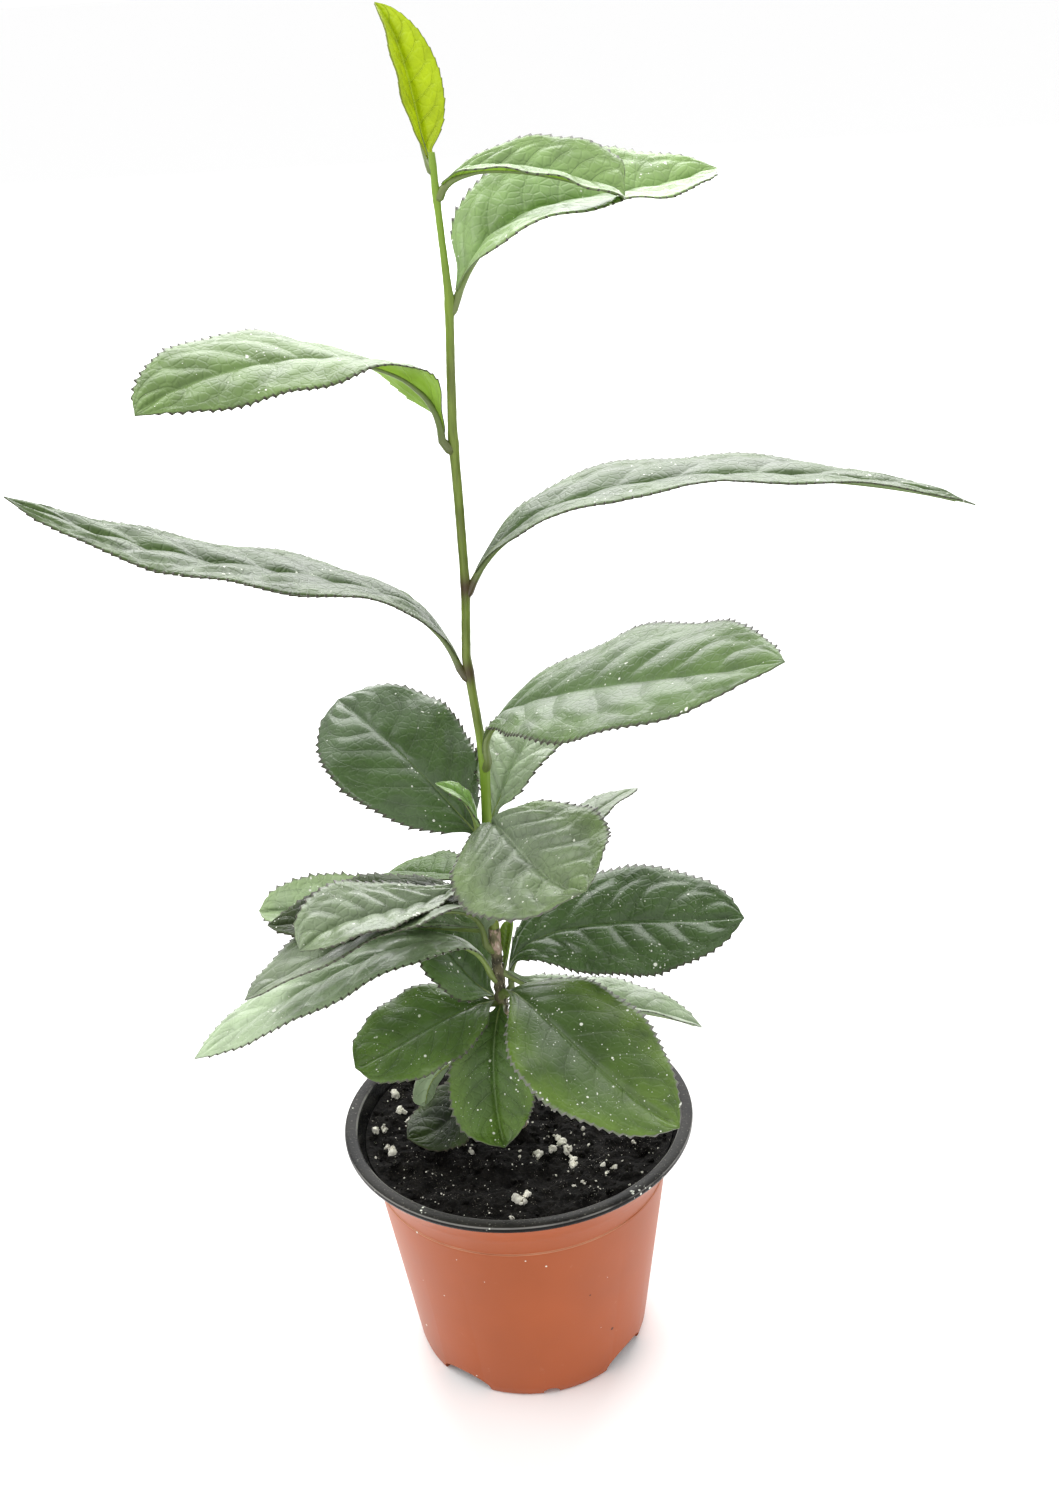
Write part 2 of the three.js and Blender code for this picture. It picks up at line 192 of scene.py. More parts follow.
def soft_noise(x, y, seed):
    """Smooth noise from -1 to 1 on a plane, with bumps about one unit across."""
    table = np.random.default_rng(seed).uniform(-1, 1, (NOISE_CELLS, NOISE_CELLS))
    cell_x, cell_y = np.floor(x).astype(int), np.floor(y).astype(int)
    u, v = ramp(x - cell_x, 0, 1), ramp(y - cell_y, 0, 1)

    def corner(i, j):
        return table[(cell_x + i) % NOISE_CELLS, (cell_y + j) % NOISE_CELLS]

    low = corner(0, 0) * (1 - u) + corner(1, 0) * u
    high = corner(0, 1) * (1 - u) + corner(1, 1) * u
    return low * (1 - v) + high * v


def deselect():
    bpy.ops.object.select_all(action="DESELECT")


def take(piece):
    """Selects a piece alone and makes it the active one."""
    deselect()
    piece.select_set(True)
    bpy.context.view_layer.objects.active = piece


def added(name):
    """The primitive that was just added, under its name."""
    piece = bpy.context.object
    piece.name = piece.data.name = name
    return piece


def sheet_of(name, points):
    """A grid primitive whose rows and columns of vertices are moved to an array of points."""
    across, along = points.shape[:2]
    deselect()
    bpy.ops.mesh.primitive_grid_add(x_subdivisions=along - 1, y_subdivisions=across - 1, size=MM)
    piece = added(name)
    piece.data.vertices.foreach_set("co", points.reshape(-1, 3).astype(np.float32).ravel())
    piece.data.update()
    return piece


def edit(piece, *steps):
    """Runs edit-mode steps on the whole of a piece."""
    take(piece)
    bpy.ops.object.mode_set(mode="EDIT")
    for step in steps:
        bpy.ops.mesh.select_all(action="SELECT")
        step()
    bpy.ops.object.mode_set(mode="OBJECT")


def merge_doubles():
    bpy.ops.mesh.remove_doubles(threshold=MERGE)


def face_outwards():
    bpy.ops.mesh.normals_make_consistent(inside=False)


def close_ends():
    bpy.ops.mesh.fill_holes(sides=0)


def modify(piece, kind, **settings):
    """Adds a modifier to a piece, sets it and applies it."""
    take(piece)
    modifier = piece.modifiers.new(kind.title(), kind)
    for key, value in settings.items():
        setattr(modifier, key, value)
    bpy.ops.object.modifier_apply(modifier=modifier.name)


def smooth_shade(piece, degrees=180):
    """Shades a piece smooth, apart from edges sharper than an angle."""
    take(piece)
    bpy.ops.object.shade_smooth_by_angle(angle=math.radians(degrees))


def join(name, pieces):
    take(pieces[0])
    for piece in pieces[1:]:
        piece.select_set(True)
    bpy.ops.object.join()
    return added(name)


def settle(piece):
    """Moves a piece's place, turn and scale into its mesh."""
    take(piece)
    bpy.ops.object.transform_apply(location=True, rotation=True, scale=True)
    return piece


def sleeve(name, centres, sides, ups, radii, corners):
    """A closed tube round a line, with its cross-sections across given side and up directions."""
    turns = np.linspace(2 * math.pi, 0, corners + 1)[:, None, None]
    reach = np.cos(turns) * sides + np.sin(turns) * ups
    piece = sheet_of(name, centres + reach * radii[..., None])
    edit(piece, merge_doubles, close_ends, face_outwards)
    return piece


def turned(name, profile, steps):
    """A profile of [radius, height] pairs in millimetres, extruded point by point and spun."""
    points = [Vector((radius * MM, 0, height * MM)) for radius, height in profile]

    def draw():
        bpy.ops.mesh.merge(type="CENTER")
        for start, end in zip(points, points[1:]):
            move = {"value": end - start}
            bpy.ops.mesh.extrude_region_move(TRANSFORM_OT_translate=move)

    def spin():
        bpy.ops.mesh.spin(steps=steps, angle=2 * math.pi, center=(0, 0, 0), axis=(0, 0, 1))

    deselect()
    bpy.ops.mesh.primitive_plane_add(size=MM, location=points[0])
    piece = added(name)
    settle(piece)
    edit(piece, draw, spin, merge_doubles, face_outwards)
    return piece


def hand_over(piece, materials, *nodes):
    """Gives a piece its materials and its body, and hides the CAD nodes that it stands for."""
    if materials:
        piece.data.materials.clear()
        for material in materials:
            piece.data.materials.append(material)
    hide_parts(*nodes)
    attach(piece, "root")


# ---- shader helpers ----
class Value:
    """A number's socket, on which arithmetic adds Math nodes."""

    def __init__(self, nodes, socket):
        self.nodes = nodes
        self.socket = socket

    def math(self, operation, *others):
        values = dict(enumerate((self, *others)))
        return self.nodes.number("ShaderNodeMath", {"operation": operation}, values)

    def __add__(self, other):
        return self.math("ADD", other)

    def __sub__(self, other):
        return self.math("SUBTRACT", other)

    def __rsub__(self, other):
        return self.nodes.number("ShaderNodeMath", {"operation": "SUBTRACT"}, {0: other, 1: self})

    def __mul__(self, other):
        return self.math("MULTIPLY", other)

    def __pow__(self, other):
        return self.math("POWER", other)

    __radd__ = __add__
    __rmul__ = __mul__

    def rise(self, low, high):
        """0 below low, 1 above high and a smooth rise between them."""
        settings = {"interpolation_type": "SMOOTHSTEP"}
        sockets = {"Value": self, "From Min": low, "From Max": high}
        return self.nodes.number("ShaderNodeMapRange", settings, sockets)


class Nodes:
    """The nodes of one material, round its Principled shader."""

    def __init__(self, name, **constants):
        self.material = bpy.data.materials.new(name)
        self.material.use_nodes = True
        self.tree = self.material.node_tree
        self.shader = self.tree.nodes["Principled BSDF"]
        for key, value in constants.items():
            self.shader_socket(key).default_value = value

    def shader_socket(self, key):
        """The shader's socket for a keyword, such as base_color."""
        return self.shader.inputs[key.replace("_", " ").title().replace("Ior", "IOR")]

    def node(self, kind, settings, sockets):
        """A node of any kind: its settings first, then the values or links of its sockets."""
        new = self.tree.nodes.new(kind)
        for key, value in settings.items():
            setattr(new, key, value)
        for key, value in sockets.items():
            self.feed(new.inputs[key], value)
        return new

    def feed(self, socket, value):
        """Links a value to a socket, or sets the socket's own number, colour or vector."""
        if isinstance(value, Value):
            value = value.socket
        if isinstance(value, bpy.types.NodeSocket):
            self.tree.links.new(value, socket)
        elif isinstance(socket.default_value, float) or isinstance(value, (str, int)):
            socket.default_value = value
        else:
            socket.default_value = (*value, 1)[: len(socket.default_value)]

    def number(self, kind, settings, sockets, output=0):
        return Value(self, self.node(kind, settings, sockets).outputs[output])

    def place(self):
        """Object coordinates."""
        return self.node("ShaderNodeTexCoord", {}, {}).outputs["Object"]

    def uv(self, name):
        return self.node("ShaderNodeUVMap", {"uv_map": name}, {}).outputs[0]

    def drawn_out(self, vector, share):
        """Coordinates on which a pattern is drawn out upwards."""
        sockets = {"Vector": vector, "Scale": (1, 1, share)}
        return self.node("ShaderNodeMapping", {}, sockets).outputs[0]

    def painted(self, name):
        """A number stored on the vertices."""
        return self.number("ShaderNodeAttribute", {"attribute_name": name}, {}, "Fac")

    def parts(self, vector):
        split = self.node("ShaderNodeSeparateXYZ", {}, {0: vector})
        return [Value(self, socket) for socket in split.outputs]

    def noise(self, vector, scale, detail=3.0, roughness=0.5):
        sockets = {"Vector": vector, "Scale": scale, "Detail": detail, "Roughness": roughness}
        return self.number("ShaderNodeTexNoise", {}, sockets)

    def cells(self, vector, scale, feature="F1", dimensions="2D"):
        """Rounded cells, flat or in space: the distance inside each one and its random colour."""
        settings = {"feature": feature, "voronoi_dimensions": dimensions}
        found = self.node("ShaderNodeTexVoronoi", settings, {"Vector": vector, "Scale": scale}).outputs
        return Value(self, found["Distance"]), found.get("Color")

    def blend(self, factor, first, second):
        """first where factor is 0 and second where it is 1, for colours."""
        sockets = {"Factor": factor, 6: first, 7: second}
        return self.node("ShaderNodeMix", {"data_type": "RGBA"}, sockets).outputs[2]

    def relief(self, height, distance, strength=1.0):
        sockets = {"Height": height, "Distance": distance, "Strength": strength}
        self.feed(self.shader_socket("normal"), self.node("ShaderNodeBump", {}, sockets).outputs[0])

    def finish(self, **sockets):
        for key, value in sockets.items():
            self.feed(self.shader_socket(key), value)
        return self.material


# ---- settings ----
def colour_setting(name, description, default):
    return FloatVectorProperty(name=name, description=description, default=default, subtype="COLOR")


def length_setting(name, description, default):
    return FloatProperty(
        name=name, description=description, default=default, subtype="DISTANCE", unit="LENGTH")


class TeaColours(bpy.types.PropertyGroup):
    tip: colour_setting("Tip Leaf", "The newest leaf, at the top", (0.43, 0.56, 0.002))
    young: colour_setting(
        "Young Leaves", "Thin yellow-green leaves and the margins of older ones", (0.21, 0.35, 0.035))
    upper: colour_setting("Upper Leaves", "The fresh light green near the top", (0.19, 0.3, 0.095))
    pale: colour_setting("Pale Leaves", "The light green of the long leaves", (0.105, 0.18, 0.055))
    # partly the leaves' own greyer green and partly a painted grey sheen: the leaves of this colour are
    # lifted well above a leaf's own tone
    sage: colour_setting("Sage Leaves", "The greyer green of dull pale leaves", (0.16, 0.205, 0.125))
    mid: colour_setting("Middle Leaves", "The plain green of most leaves", (0.075, 0.145, 0.026))
    dark: colour_setting("Dark Leaves", "The deep green of the oldest leaves", (0.048, 0.088, 0.026))
    under: colour_setting("Leaf Backs", "The lower faces of the leaves", (0.17, 0.25, 0.09))
    stalk: colour_setting("Leaf Stalks", "Petioles and midribs", (0.17, 0.23, 0.06))
    tooth: colour_setting("Tooth Tips", "The dark points of the margins", (0.035, 0.03, 0.015))
    dust: colour_setting("Dust", "Pale specks on the leaves and the pot", (0.75, 0.77, 0.68))
    knot: colour_setting("Joints", "The brown feet of some stalks", (0.075, 0.05, 0.025))
    bark: colour_setting("Bark", "The woody base of the stem", (0.15, 0.135, 0.07))
    shoot: colour_setting("Green Shoot", "The green part of the stem", (0.17, 0.23, 0.04))
    terracotta: colour_setting("Pot", "The orange-brown outer shell", (0.36, 0.08, 0.019))
    rim: colour_setting("Rim", "The black inner skin and its rim", (0.004, 0.004, 0.004))
    peat: colour_setting("Soil", "Damp peat", (0.007, 0.006, 0.0052))
    perlite: colour_setting("Perlite", "The pale stones in the soil", (0.85, 0.82, 0.72))
    gloss: FloatProperty(
        name="Leaf Gloss", description="Strength of the leaves' waxy coat",
        default=0.5, subtype="FACTOR", min=0, max=1)


def tint(colour, factor):
    return tuple(channel * factor for channel in colour)


# ---- leaves ----
# What each leaf is like: its family of colours, how light it is, how much it bulges between its
# veins, how many pale specks lie on it, how yellow its margin is, how glossy it is, how long its
# teeth are and how brown its stalk's foot is. How light a leaf is holds its own tone and also painted
# light: a leaf in the shade of others is painted lighter, and the sage-green leaves are lifted well
# above their own tone to stand for a painted grey sheen.
def like(family, light=1.0, quilt=0.6, dust=0.2, fresh=0.2, gloss=1.0, teeth=1.0, foot=0.2):
    return SimpleNamespace(
        family=family, light=light, quilt=quilt, dust=dust, fresh=fresh, gloss=gloss, teeth=teeth, foot=foot)


LEAVES = {
    "leaf_top": like("tip", quilt=0.1, dust=0, gloss=0.2, teeth=0.25),
    "leaf_young_right": like("upper", light=1.2, quilt=0.8, dust=0, gloss=1.3, teeth=0.6),
    "leaf_upper_right": like("upper", light=1.35, quilt=0.8, gloss=1.4),
    "leaf_upper_left": like("upper", light=0.75, quilt=0.75, gloss=0.6, foot=0.4),
    "leaf_long_right": like("pale", light=0.62, quilt=0.85, gloss=0.7, foot=1),
    "leaf_long_left": like("pale", light=0.52, quilt=1.3, gloss=0.7, foot=0.9),
    "leaf_high_front": like("pale", light=0.9, quilt=0.75, dust=0.3),
    "leaf_rear_right": like("sage", light=2.1, quilt=1.0, gloss=1.6),
    "leaf_round_left": like("dark", light=1.3, quilt=0.35, fresh=0, gloss=1.3),
    "leaf_axil_small": like("mid", light=2.1, quilt=0.4, teeth=0.6),
    "leaf_front_broad": like("sage", light=1.05, quilt=1.5, fresh=0.5, gloss=0.8),
    "leaf_rear_pale": like("sage", light=1.2, quilt=0.4),
    "leaf_left_oval": like("sage", light=1.2, quilt=0.9, dust=0.8, gloss=1.4),
    "leaf_rear_left": like("mid", light=0.95, gloss=0.1),
    "leaf_left_rear": like("sage", light=2.6, dust=0.8, fresh=0.6),
    "leaf_left_dark": like("dark", light=0.2, quilt=0.4, dust=0.5, gloss=0),
    "leaf_left_under": like("sage", quilt=0.7, dust=0.6, gloss=1.5),
    "leaf_hanging_right": like("sage", light=2.0, quilt=0.3, fresh=0, gloss=2.2),
    "leaf_shoot_small": like("young", quilt=0.2, dust=0, teeth=0),
    "leaf_long_front": like("sage", light=2.4, quilt=0.8, dust=0.8, fresh=0, gloss=1.6),
    "leaf_low_dark": like("dark", light=1.6, quilt=0.3, dust=0.5, gloss=0.8),
    "leaf_big_right": like("dark", light=1.3, quilt=1.1, dust=0.9, fresh=0),
    "leaf_low_right": like("mid", light=0.66, quilt=0.25, dust=1.1, fresh=0.7, gloss=0.8),
    "leaf_low_left": like("mid", light=0.85, quilt=0.35, dust=1.0, fresh=0.4, teeth=0.6),
    "leaf_low_front": like("mid", light=0.88, quilt=0.35, dust=1.0, fresh=0.5, gloss=0.7),
    "leaf_soil_left": like("dark", light=0.2, quilt=0.3, dust=0.8, teeth=0.8, gloss=0),
    # painted light: lying in the shade of the leaves above it, this leaf is painted much lighter to make up
    # for that shade
    "leaf_soil_folded": like("sage", light=2.8, quilt=0.1, dust=0, fresh=0, teeth=0.1),
}


# The sizes of specks on a leaf: cells to the centimetre, the share of them with a speck, and how much
# wider the widest speck is.
LEAF_SPECKS = ((2.2, 0.16, 0.13), (4.6, 0.2, 0.17), (9.0, 0.26, 0.2))


def looped_veins(nodes):
    """The side veins, which loop along the margin, the swells between them, and the place across."""
    phase, width, _ = nodes.parts(nodes.uv("veins"))
    side = (phase.math("FRACT") - 0.5).math("ABSOLUTE") * 2
    crest = 1 - side * side
    loop = 1 - (width - crest * LOOP_SWING - LOOP_START).math("ABSOLUTE").rise(0.0, 0.035)
    lateral = side.rise(0.86, 1.0) * (1 - width.rise(0.66, 0.72))
    return lateral.math("MAXIMUM", loop * 0.7), crest, width


def leaf_face(name, leaf_like, colours):
    """A leathery upper face: sunken side veins, a paler midrib, dark tooth tips, dust and a painted sheen on
    the swells between the veins.
    """
    nodes = Nodes(
        name, coat_weight=min(1, colours.gloss * leaf_like.gloss), specular_ior_level=0.2,
        coat_roughness=0.2 if leaf_like.family == "dark" else 0.3)
    # each leaf's lightness: its own tone, and for some leaves painted light and sheen as well
    base = tint(getattr(colours, leaf_like.family), leaf_like.light)
    vein = tint([channel + 0.04 for channel in base], 1.4)
    flat = nodes.uv("flat")
    veins, crest, width = looped_veins(nodes)
    along = nodes.parts(nodes.uv("veins"))[0]
    net = 1 - nodes.cells(flat, 4.2, "DISTANCE_TO_EDGE")[0].rise(0.0, 0.2)
    mottle = nodes.noise(flat, 1.1, 4.0)
    grain = nodes.noise(flat, 16.0, 2.0)

    colour = nodes.blend(mottle.rise(0.35, 0.65), tint(base, 0.7), base)
    # painted sheen: the swells between the side veins are painted lighter, as though each one caught the
    # light
    colour = nodes.blend(crest * 0.25, colour, tint(base, 1.25))
    colour = nodes.blend(veins * 0.2 + net * 0.06, colour, vein)
    colour = nodes.blend((1 - width.rise(0.012, 0.04)) * 0.25, colour, vein)
    ripe = width.rise(0.35, 1.0).math("MAXIMUM", along.rise(3.5, 8.5)) * mottle.rise(0.2, 0.6)
    colour = nodes.blend(ripe * leaf_like.fresh * 0.75, colour, tint(colours.young, 0.75))
    rim = tuple(0.3 * leaf_like.fresh ** 2 + channel for channel in colours.tooth)
    edge = width.rise(0.965, 0.99) * 0.6
    colour = nodes.blend(nodes.painted("tooth").rise(0.1, 0.5).math("MAXIMUM", edge), colour, rim)
    if leaf_like.dust:
        patch = nodes.noise(flat, 0.9, 2.0).rise(0.48, 0.62) * 0.3 - 0.17
        for scale, most, largest in LEAF_SPECKS:
            distance, lots = nodes.cells(flat, scale)
            lot, size, _ = nodes.parts(lots)
            near = (size**4 * largest + 0.045 - distance).rise(0.0, 0.02)
            few = 1 - most * leaf_like.dust
            colour = nodes.blend(near * (lot + patch).rise(few, few + 0.01), colour, colours.dust)
    meshed = 0.15 + 0.3 * leaf_like.quilt
    nodes.relief(crest * 0.2 - veins * 0.45 - net * meshed + grain * 0.12, 0.5 * MM, 0.8)
    return nodes.finish(base_color=colour, roughness=mottle * 0.2 + 0.36)


def leaf_back(name, leaf_like, colours):
    """A dull lower face, paler than the upper one, with veins that stand out."""
    nodes = Nodes(name, specular_ior_level=0.25)
    if leaf_like.family in ("tip", "young", "upper"):
        base = tint(colours.young, 1.4)
    elif leaf_like.family == "sage":
        # the backs of the sage-green leaves are lifted with the leaf's lightness, painted light and sheen as
        # well as tone
        base = tint(colours.sage, 0.8 + 0.7 * leaf_like.light)
    else:
        base = tint(colours.under, 0.6 + 0.5 * leaf_like.light)
    veins = looped_veins(nodes)[0]
    flat = nodes.uv("flat")
    mottle = nodes.noise(flat, 1.4)
    colour = nodes.blend(mottle.rise(0.3, 0.7), tint(base, 0.8), base)
    colour = nodes.blend(veins * 0.3, colour, tint(base, 1.3))
    nodes.relief(veins + nodes.noise(flat, 12.0) * 0.3, 0.3 * MM, 0.8)
    return nodes.finish(base_color=colour, roughness=mottle * 0.1 + 0.5)


def leaf_stalk(name, leaf_like, colours):
    """The petiole and the midrib's underside, browner where it meets the stem."""
    nodes = Nodes(name, roughness=0.42, coat_weight=0.2)
    grain = nodes.noise(nodes.place(), 900.0)
    base = tint(colours.stalk, 0.7 + 0.3 * leaf_like.light)
    colour = nodes.blend(grain, base, tint(base, 0.75))
    colour = nodes.blend(nodes.painted("tooth") * leaf_like.foot, colour, colours.knot)
    nodes.relief(grain, 0.1 * MM, 0.5)
    return nodes.finish(base_color=colour)


def paint(piece, name, values):
    """Stores a number on each vertex."""
    attribute = piece.data.attributes.new(name, "FLOAT", "POINT")
    attribute.data.foreach_set("value", np.asarray(values, np.float32).ravel())


def lay_uv(piece, name, pairs):
    """Stores a UV map, given as a pair for each vertex."""
    corners = np.zeros(len(piece.data.loops), np.int32)
    piece.data.loops.foreach_get("vertex_index", corners)
    layer = piece.data.uv_layers.new(name=name)
    layer.uv.foreach_set("vector", pairs.reshape(-1, 2)[corners].astype(np.float32).ravel())


# A tooth's rows, as shares of its spacing, how far each stands out and how dark it is. The margin
# rises slowly and drops quickly, so that the tooth's point leans forwards.
TOOTH_ROWS = np.array([0.0, 0.3, 0.6, 0.85, 0.93])
TOOTH_OUT = np.array([0.0, 0.28, 0.62, 1.0, 0.3])
TOOTH_TIP = np.array([0.0, 0.0, 0.3, 1.0, 0.5])
# The blade's columns of vertices, as shares of a half's breadth, closer beside the midrib.
ACROSS = np.array([
    0, 0.02, 0.05, 0.1, 0.16, 0.23, 0.3, 0.37, 0.44, 0.51, 0.58, 0.65, 0.72, 0.79, 0.86, 0.93, 1])
# Along the midrib, as shares of its length.
BLADE_START = 0.02
TEETH_START = 0.13
TEETH_REACH = (1 - TEETH_START) * 0.985
VEINED = 0.86
PLAIN_ROWS = 8  # rows of vertices below the first tooth
END_ROWS = 2  # rows past the last tooth
FEWEST_TEETH = 5
# The side veins. Shifts along the blade are in vein spacings, places across in shares of the breadth.
SIDE_SHIFT = 0.4  # from one half's veins to the other's
WANDER = 0.16  # how far a vein strays
LOOP_START = 0.62  # where the side veins turn to meet each other
LOOP_SWING = 0.2  # how much further out the loops swing between two veins
LOOP_SLOPE = 0.22  # how far inside its loop a swell starts to fall
SMALL_SWELL = 0.4  # the height of the swells outside the loops, as a share of the others'
# The blade's other relief.
HALF_ARCH = 0.16  # how high each half arches, as a share of its breadth
GROOVE_DEPTH, GROOVE_WIDTH = 0.4 * MM, 0.7 * MM  # above the midrib
BUMP_SIZE = 0.45  # in centimetres
# The midrib: shares of its length, and its radius there in millimetres.
RIB_PLACES = (0, 0.03, 0.1, 0.2, 1)
RIB_RADII = (1.1, 0.95, 0.85, 0.55, 0.2)
RIB_CORNERS = 10


def stalk_line(foot, heading):
    """The points that carry a petiole from inside the stem to its leaf's foot."""
    slope = heading[2] / max(math.hypot(heading[0], heading[1]), 0.05)
    low = foot[2] - np.clip(off_the_stem(foot) * (slope + 0.4), 1 * MM, 4 * MM)
    axis = np.array([*on_the_stem(low, X, Y), low])
    return np.array([axis, axis * 0.55 + foot * 0.45 + (0, 0, -0.3 * MM)])


def quilting(run, share, sign, half, spacing, seed):
    """One column's places among the side veins, and how far the blade swells at each."""
    forward = half * (0.5 * share + 0.5 * share**3)
    phase = (run - forward) / spacing + (SIDE_SHIFT if sign > 0 else 0.0)
    phase += WANDER * soft_noise(run / (13 * MM) + 5 * sign, share * half / (9 * MM), seed + 60)
    crest = 1 - np.abs(2 * (phase % 1) - 1) ** 2
    crest *= 0.8 + 0.35 * soft_noise(np.floor(phase) * 1.7 + 9 * sign + 0.5, 0.5, seed + 90)
    small = 1 - np.abs(2 * ((2 * phase + 0.5) % 1) - 1) ** 2
    loop = LOOP_START + LOOP_SWING * crest
    swell = crest * ramp(share, 0.0, 0.16) * (1 - ramp(share, loop - LOOP_SLOPE, loop))
    swell += SMALL_SWELL * small * ramp(share, loop, loop + 0.08) * (1 - ramp(share, 0.84, 1.0))
    return phase, swell


def midrib(middle, knots, along, ups, half):
    """The petiole, which comes out of the stem and runs on under the blade as the midrib."""
    shares = np.concatenate([np.linspace(0, 0.14, 10), np.linspace(0.18, 0.96, 30)])
    line = smooth_through(knots, middle, shares)
    over = smooth_through(along, ups, shares.clip(along[0], 1))
    thick = np.interp(shares, RIB_PLACES, RIB_RADII) * MM
    thick *= min(1, half / (7 * MM)) ** 0.6
    line -= over * (thick * 0.8 + 0.45 * MM * ramp(shares, 0.06, 0.2))[:, None]
    line = np.concatenate([stalk_line(line[0], unit(line[1] - line[0])), line])
    over = np.concatenate([over[:1], over[:1], over])
    thick = np.concatenate([[thick[0] * 0.9, thick[0] * 1.15], thick])
    heading = unit(np.gradient(line, axis=0))
    over = unit(over - heading * np.sum(over * heading, axis=1)[:, None])
    rib = sleeve("rib", line, np.cross(over, heading), over, thick[None], RIB_CORNERS)
    reach = [(vertex.co - Vector(line[1])).length for vertex in rib.data.vertices]
    paint(rib, "tooth", 1 - ramp(np.array(reach), 2 * MM, 6 * MM))
    return rib


def leaf(node, sizes, colours, seed):
    """One leaf: a quilted, toothed blade of real thickness with its petiole and midrib."""
    middle, left, right = leaf_lines(node)
    steps = np.linalg.norm(np.diff(middle, axis=0), axis=1)
    length = steps.sum()
    knots = np.concatenate([[0], np.cumsum(steps)]) / length
    chance = np.random.default_rng(seed)
    leaf_like = LEAVES[node]

    # rows along the blade: a plain stretch, the teeth and the tip
    teeth = max(FEWEST_TEETH, round(length * (1 - TEETH_START) / sizes.tooth_spacing))
    plain = np.linspace(BLADE_START, TEETH_START, PLAIN_ROWS + 1)[:-1]
    starts = TEETH_START + np.arange(teeth)[:, None] * TEETH_REACH / teeth
    toothed = (starts + TOOTH_ROWS * TEETH_REACH / teeth).ravel()
    along = np.concatenate([plain, toothed, [TEETH_START + TEETH_REACH, 1.0]])
    pad = (PLAIN_ROWS, END_ROWS)
    out = np.pad(np.tile(TOOTH_OUT, teeth), pad)
    point = np.pad(np.tile(TOOTH_TIP, teeth), pad)

    centre = smooth_through(knots, middle, along)
    sides = {1: smooth_through(knots, left, along), -1: smooth_through(knots, right, along)}
    columns = np.concatenate([-ACROSS[:0:-1], ACROSS])
    widths = {sign: np.linalg.norm(line - centre, axis=1) for sign, line in sides.items()}
    half = max(widths[1].max(), widths[-1].max())
    spacing = length * VEINED / sizes.vein_pairs

    shape = (len(columns), len(along))
    surface, veins, flat = (np.zeros((*shape, numbers)) for numbers in (3, 2, 2))
    height, tips = np.zeros((2, *shape))
    for row, column in enumerate(columns):
        sign = 1 if column > 0 else -1
        share = abs(column)
        breadth = widths[sign]
        surface[row] = centre + (sides[sign] - centre) * share
        if share == 1.0:
            broad = ramp(breadth, 1.5 * MM, 4 * MM)
            uneven = np.pad(np.repeat(chance.uniform(0.5, 1.3, teeth), len(TOOTH_ROWS)), pad)
            tooth = sizes.tooth_length * leaf_like.teeth * out * uneven * broad
            surface[row] += unit(sides[sign] - centre) * tooth[:, None]
            tips[row] = point * broad * min(1, leaf_like.teeth * 1.5)

        phase, swell = quilting(along * length, share, sign, half, spacing, seed)
        veins[row] = np.stack([phase, np.full_like(along, share)], axis=1)
        flat[row] = np.stack([along * length, column * breadth], axis=1) / (10 * MM) + seed
        height[row] = leaf_like.quilt * sizes.quilt_depth * swell * min(1, half / (14 * MM))
        height[row] += HALF_ARCH * breadth * share * (1 - share)
        height[row] -= GROOVE_DEPTH * np.exp(-((share * breadth / GROOVE_WIDTH) ** 2))
        ripple = np.sin(2 * math.pi * (along * sizes.ripples + 0.17 * seed + 0.3 * sign))
        height[row] += sizes.ripple_depth * ripple * share**2.5 * breadth / (15 * MM)
        bumps = soft_noise(*(flat[row] / BUMP_SIZE).T, seed)
        height[row] += sizes.bumpiness * min(leaf_like.quilt, 0.6) * bumps * ramp(share, 0, 0.2)
    # the relief fades out towards the foot and the tip
    height *= ramp(along, 0.06, 0.2) * (1 - ramp(along, 0.93, 1.0))

    ups = unit(np.cross(np.gradient(surface, axis=1), np.gradient(surface, axis=0)))
    surface += ups * height[..., None]
    blade = sheet_of(node.replace("leaf", "blade"), surface)
    while blade.data.uv_layers:
        blade.data.uv_layers.remove(blade.data.uv_layers[0])
    lay_uv(blade, "veins", veins)
    lay_uv(blade, "flat", flat)
    paint(blade, "tooth", tips)
    edit(blade, merge_doubles)
    blade.data.materials.append(leaf_face(node + "_face", leaf_like, colours))
    blade.data.materials.append(leaf_back(node + "_back", leaf_like, colours))
    modify(blade, "SOLIDIFY", thickness=sizes.thickness, offset=-1, material_offset=1, material_offset_rim=0)

    rib = midrib(middle, knots, along, ups[len(columns) // 2], half)
    rib.data.materials.append(leaf_stalk(node + "_stalk", leaf_like, colours))
    piece = join(node.replace("leaf", "blade"), [blade, rib])
    smooth_shade(piece)
    hand_over(piece, (), node)


class TeaLeafSizes(bpy.types.PropertyGroup):
    thickness: length_setting("Blade Thickness", "Thickness of a leaf's blade", 0.35 * MM)
    tooth_spacing: length_setting("Tooth Spacing", "Distance from one margin tooth to the next", 2.3 * MM)
    tooth_length: length_setting("Tooth Length", "How far a margin tooth stands out", 1.05 * MM)
    vein_pairs: IntProperty(
        name="Vein Pairs", description="Side veins on each half of a leaf", default=7)
    quilt_depth: length_setting("Quilt Depth", "How far the blade bulges between its side veins", 1.1 * MM)
    bumpiness: length_setting("Bumpiness", "Height of a blade's small uneven swellings", 0.2 * MM)
    ripples: FloatProperty(
        name="Ripples", description="Waves along a leaf's margin", default=3.5)
    ripple_depth: length_setting("Ripple Depth", "Height of the waves along a broad leaf's margin", 0.6 * MM)


class TEA_OT_leaves(bpy.types.Operator):
    """Add every leaf of the plant"""

    bl_idname = "tea.leaves"
    bl_label = "Leaves"

    def execute(self, context):
        for seed, node in enumerate(LEAVES, 1):
            leaf(node, context.scene.tea_leaf, context.scene.tea_colours, seed)
        return {"FINISHED"}


# ---- stem ----
STEM_CORNERS = 20


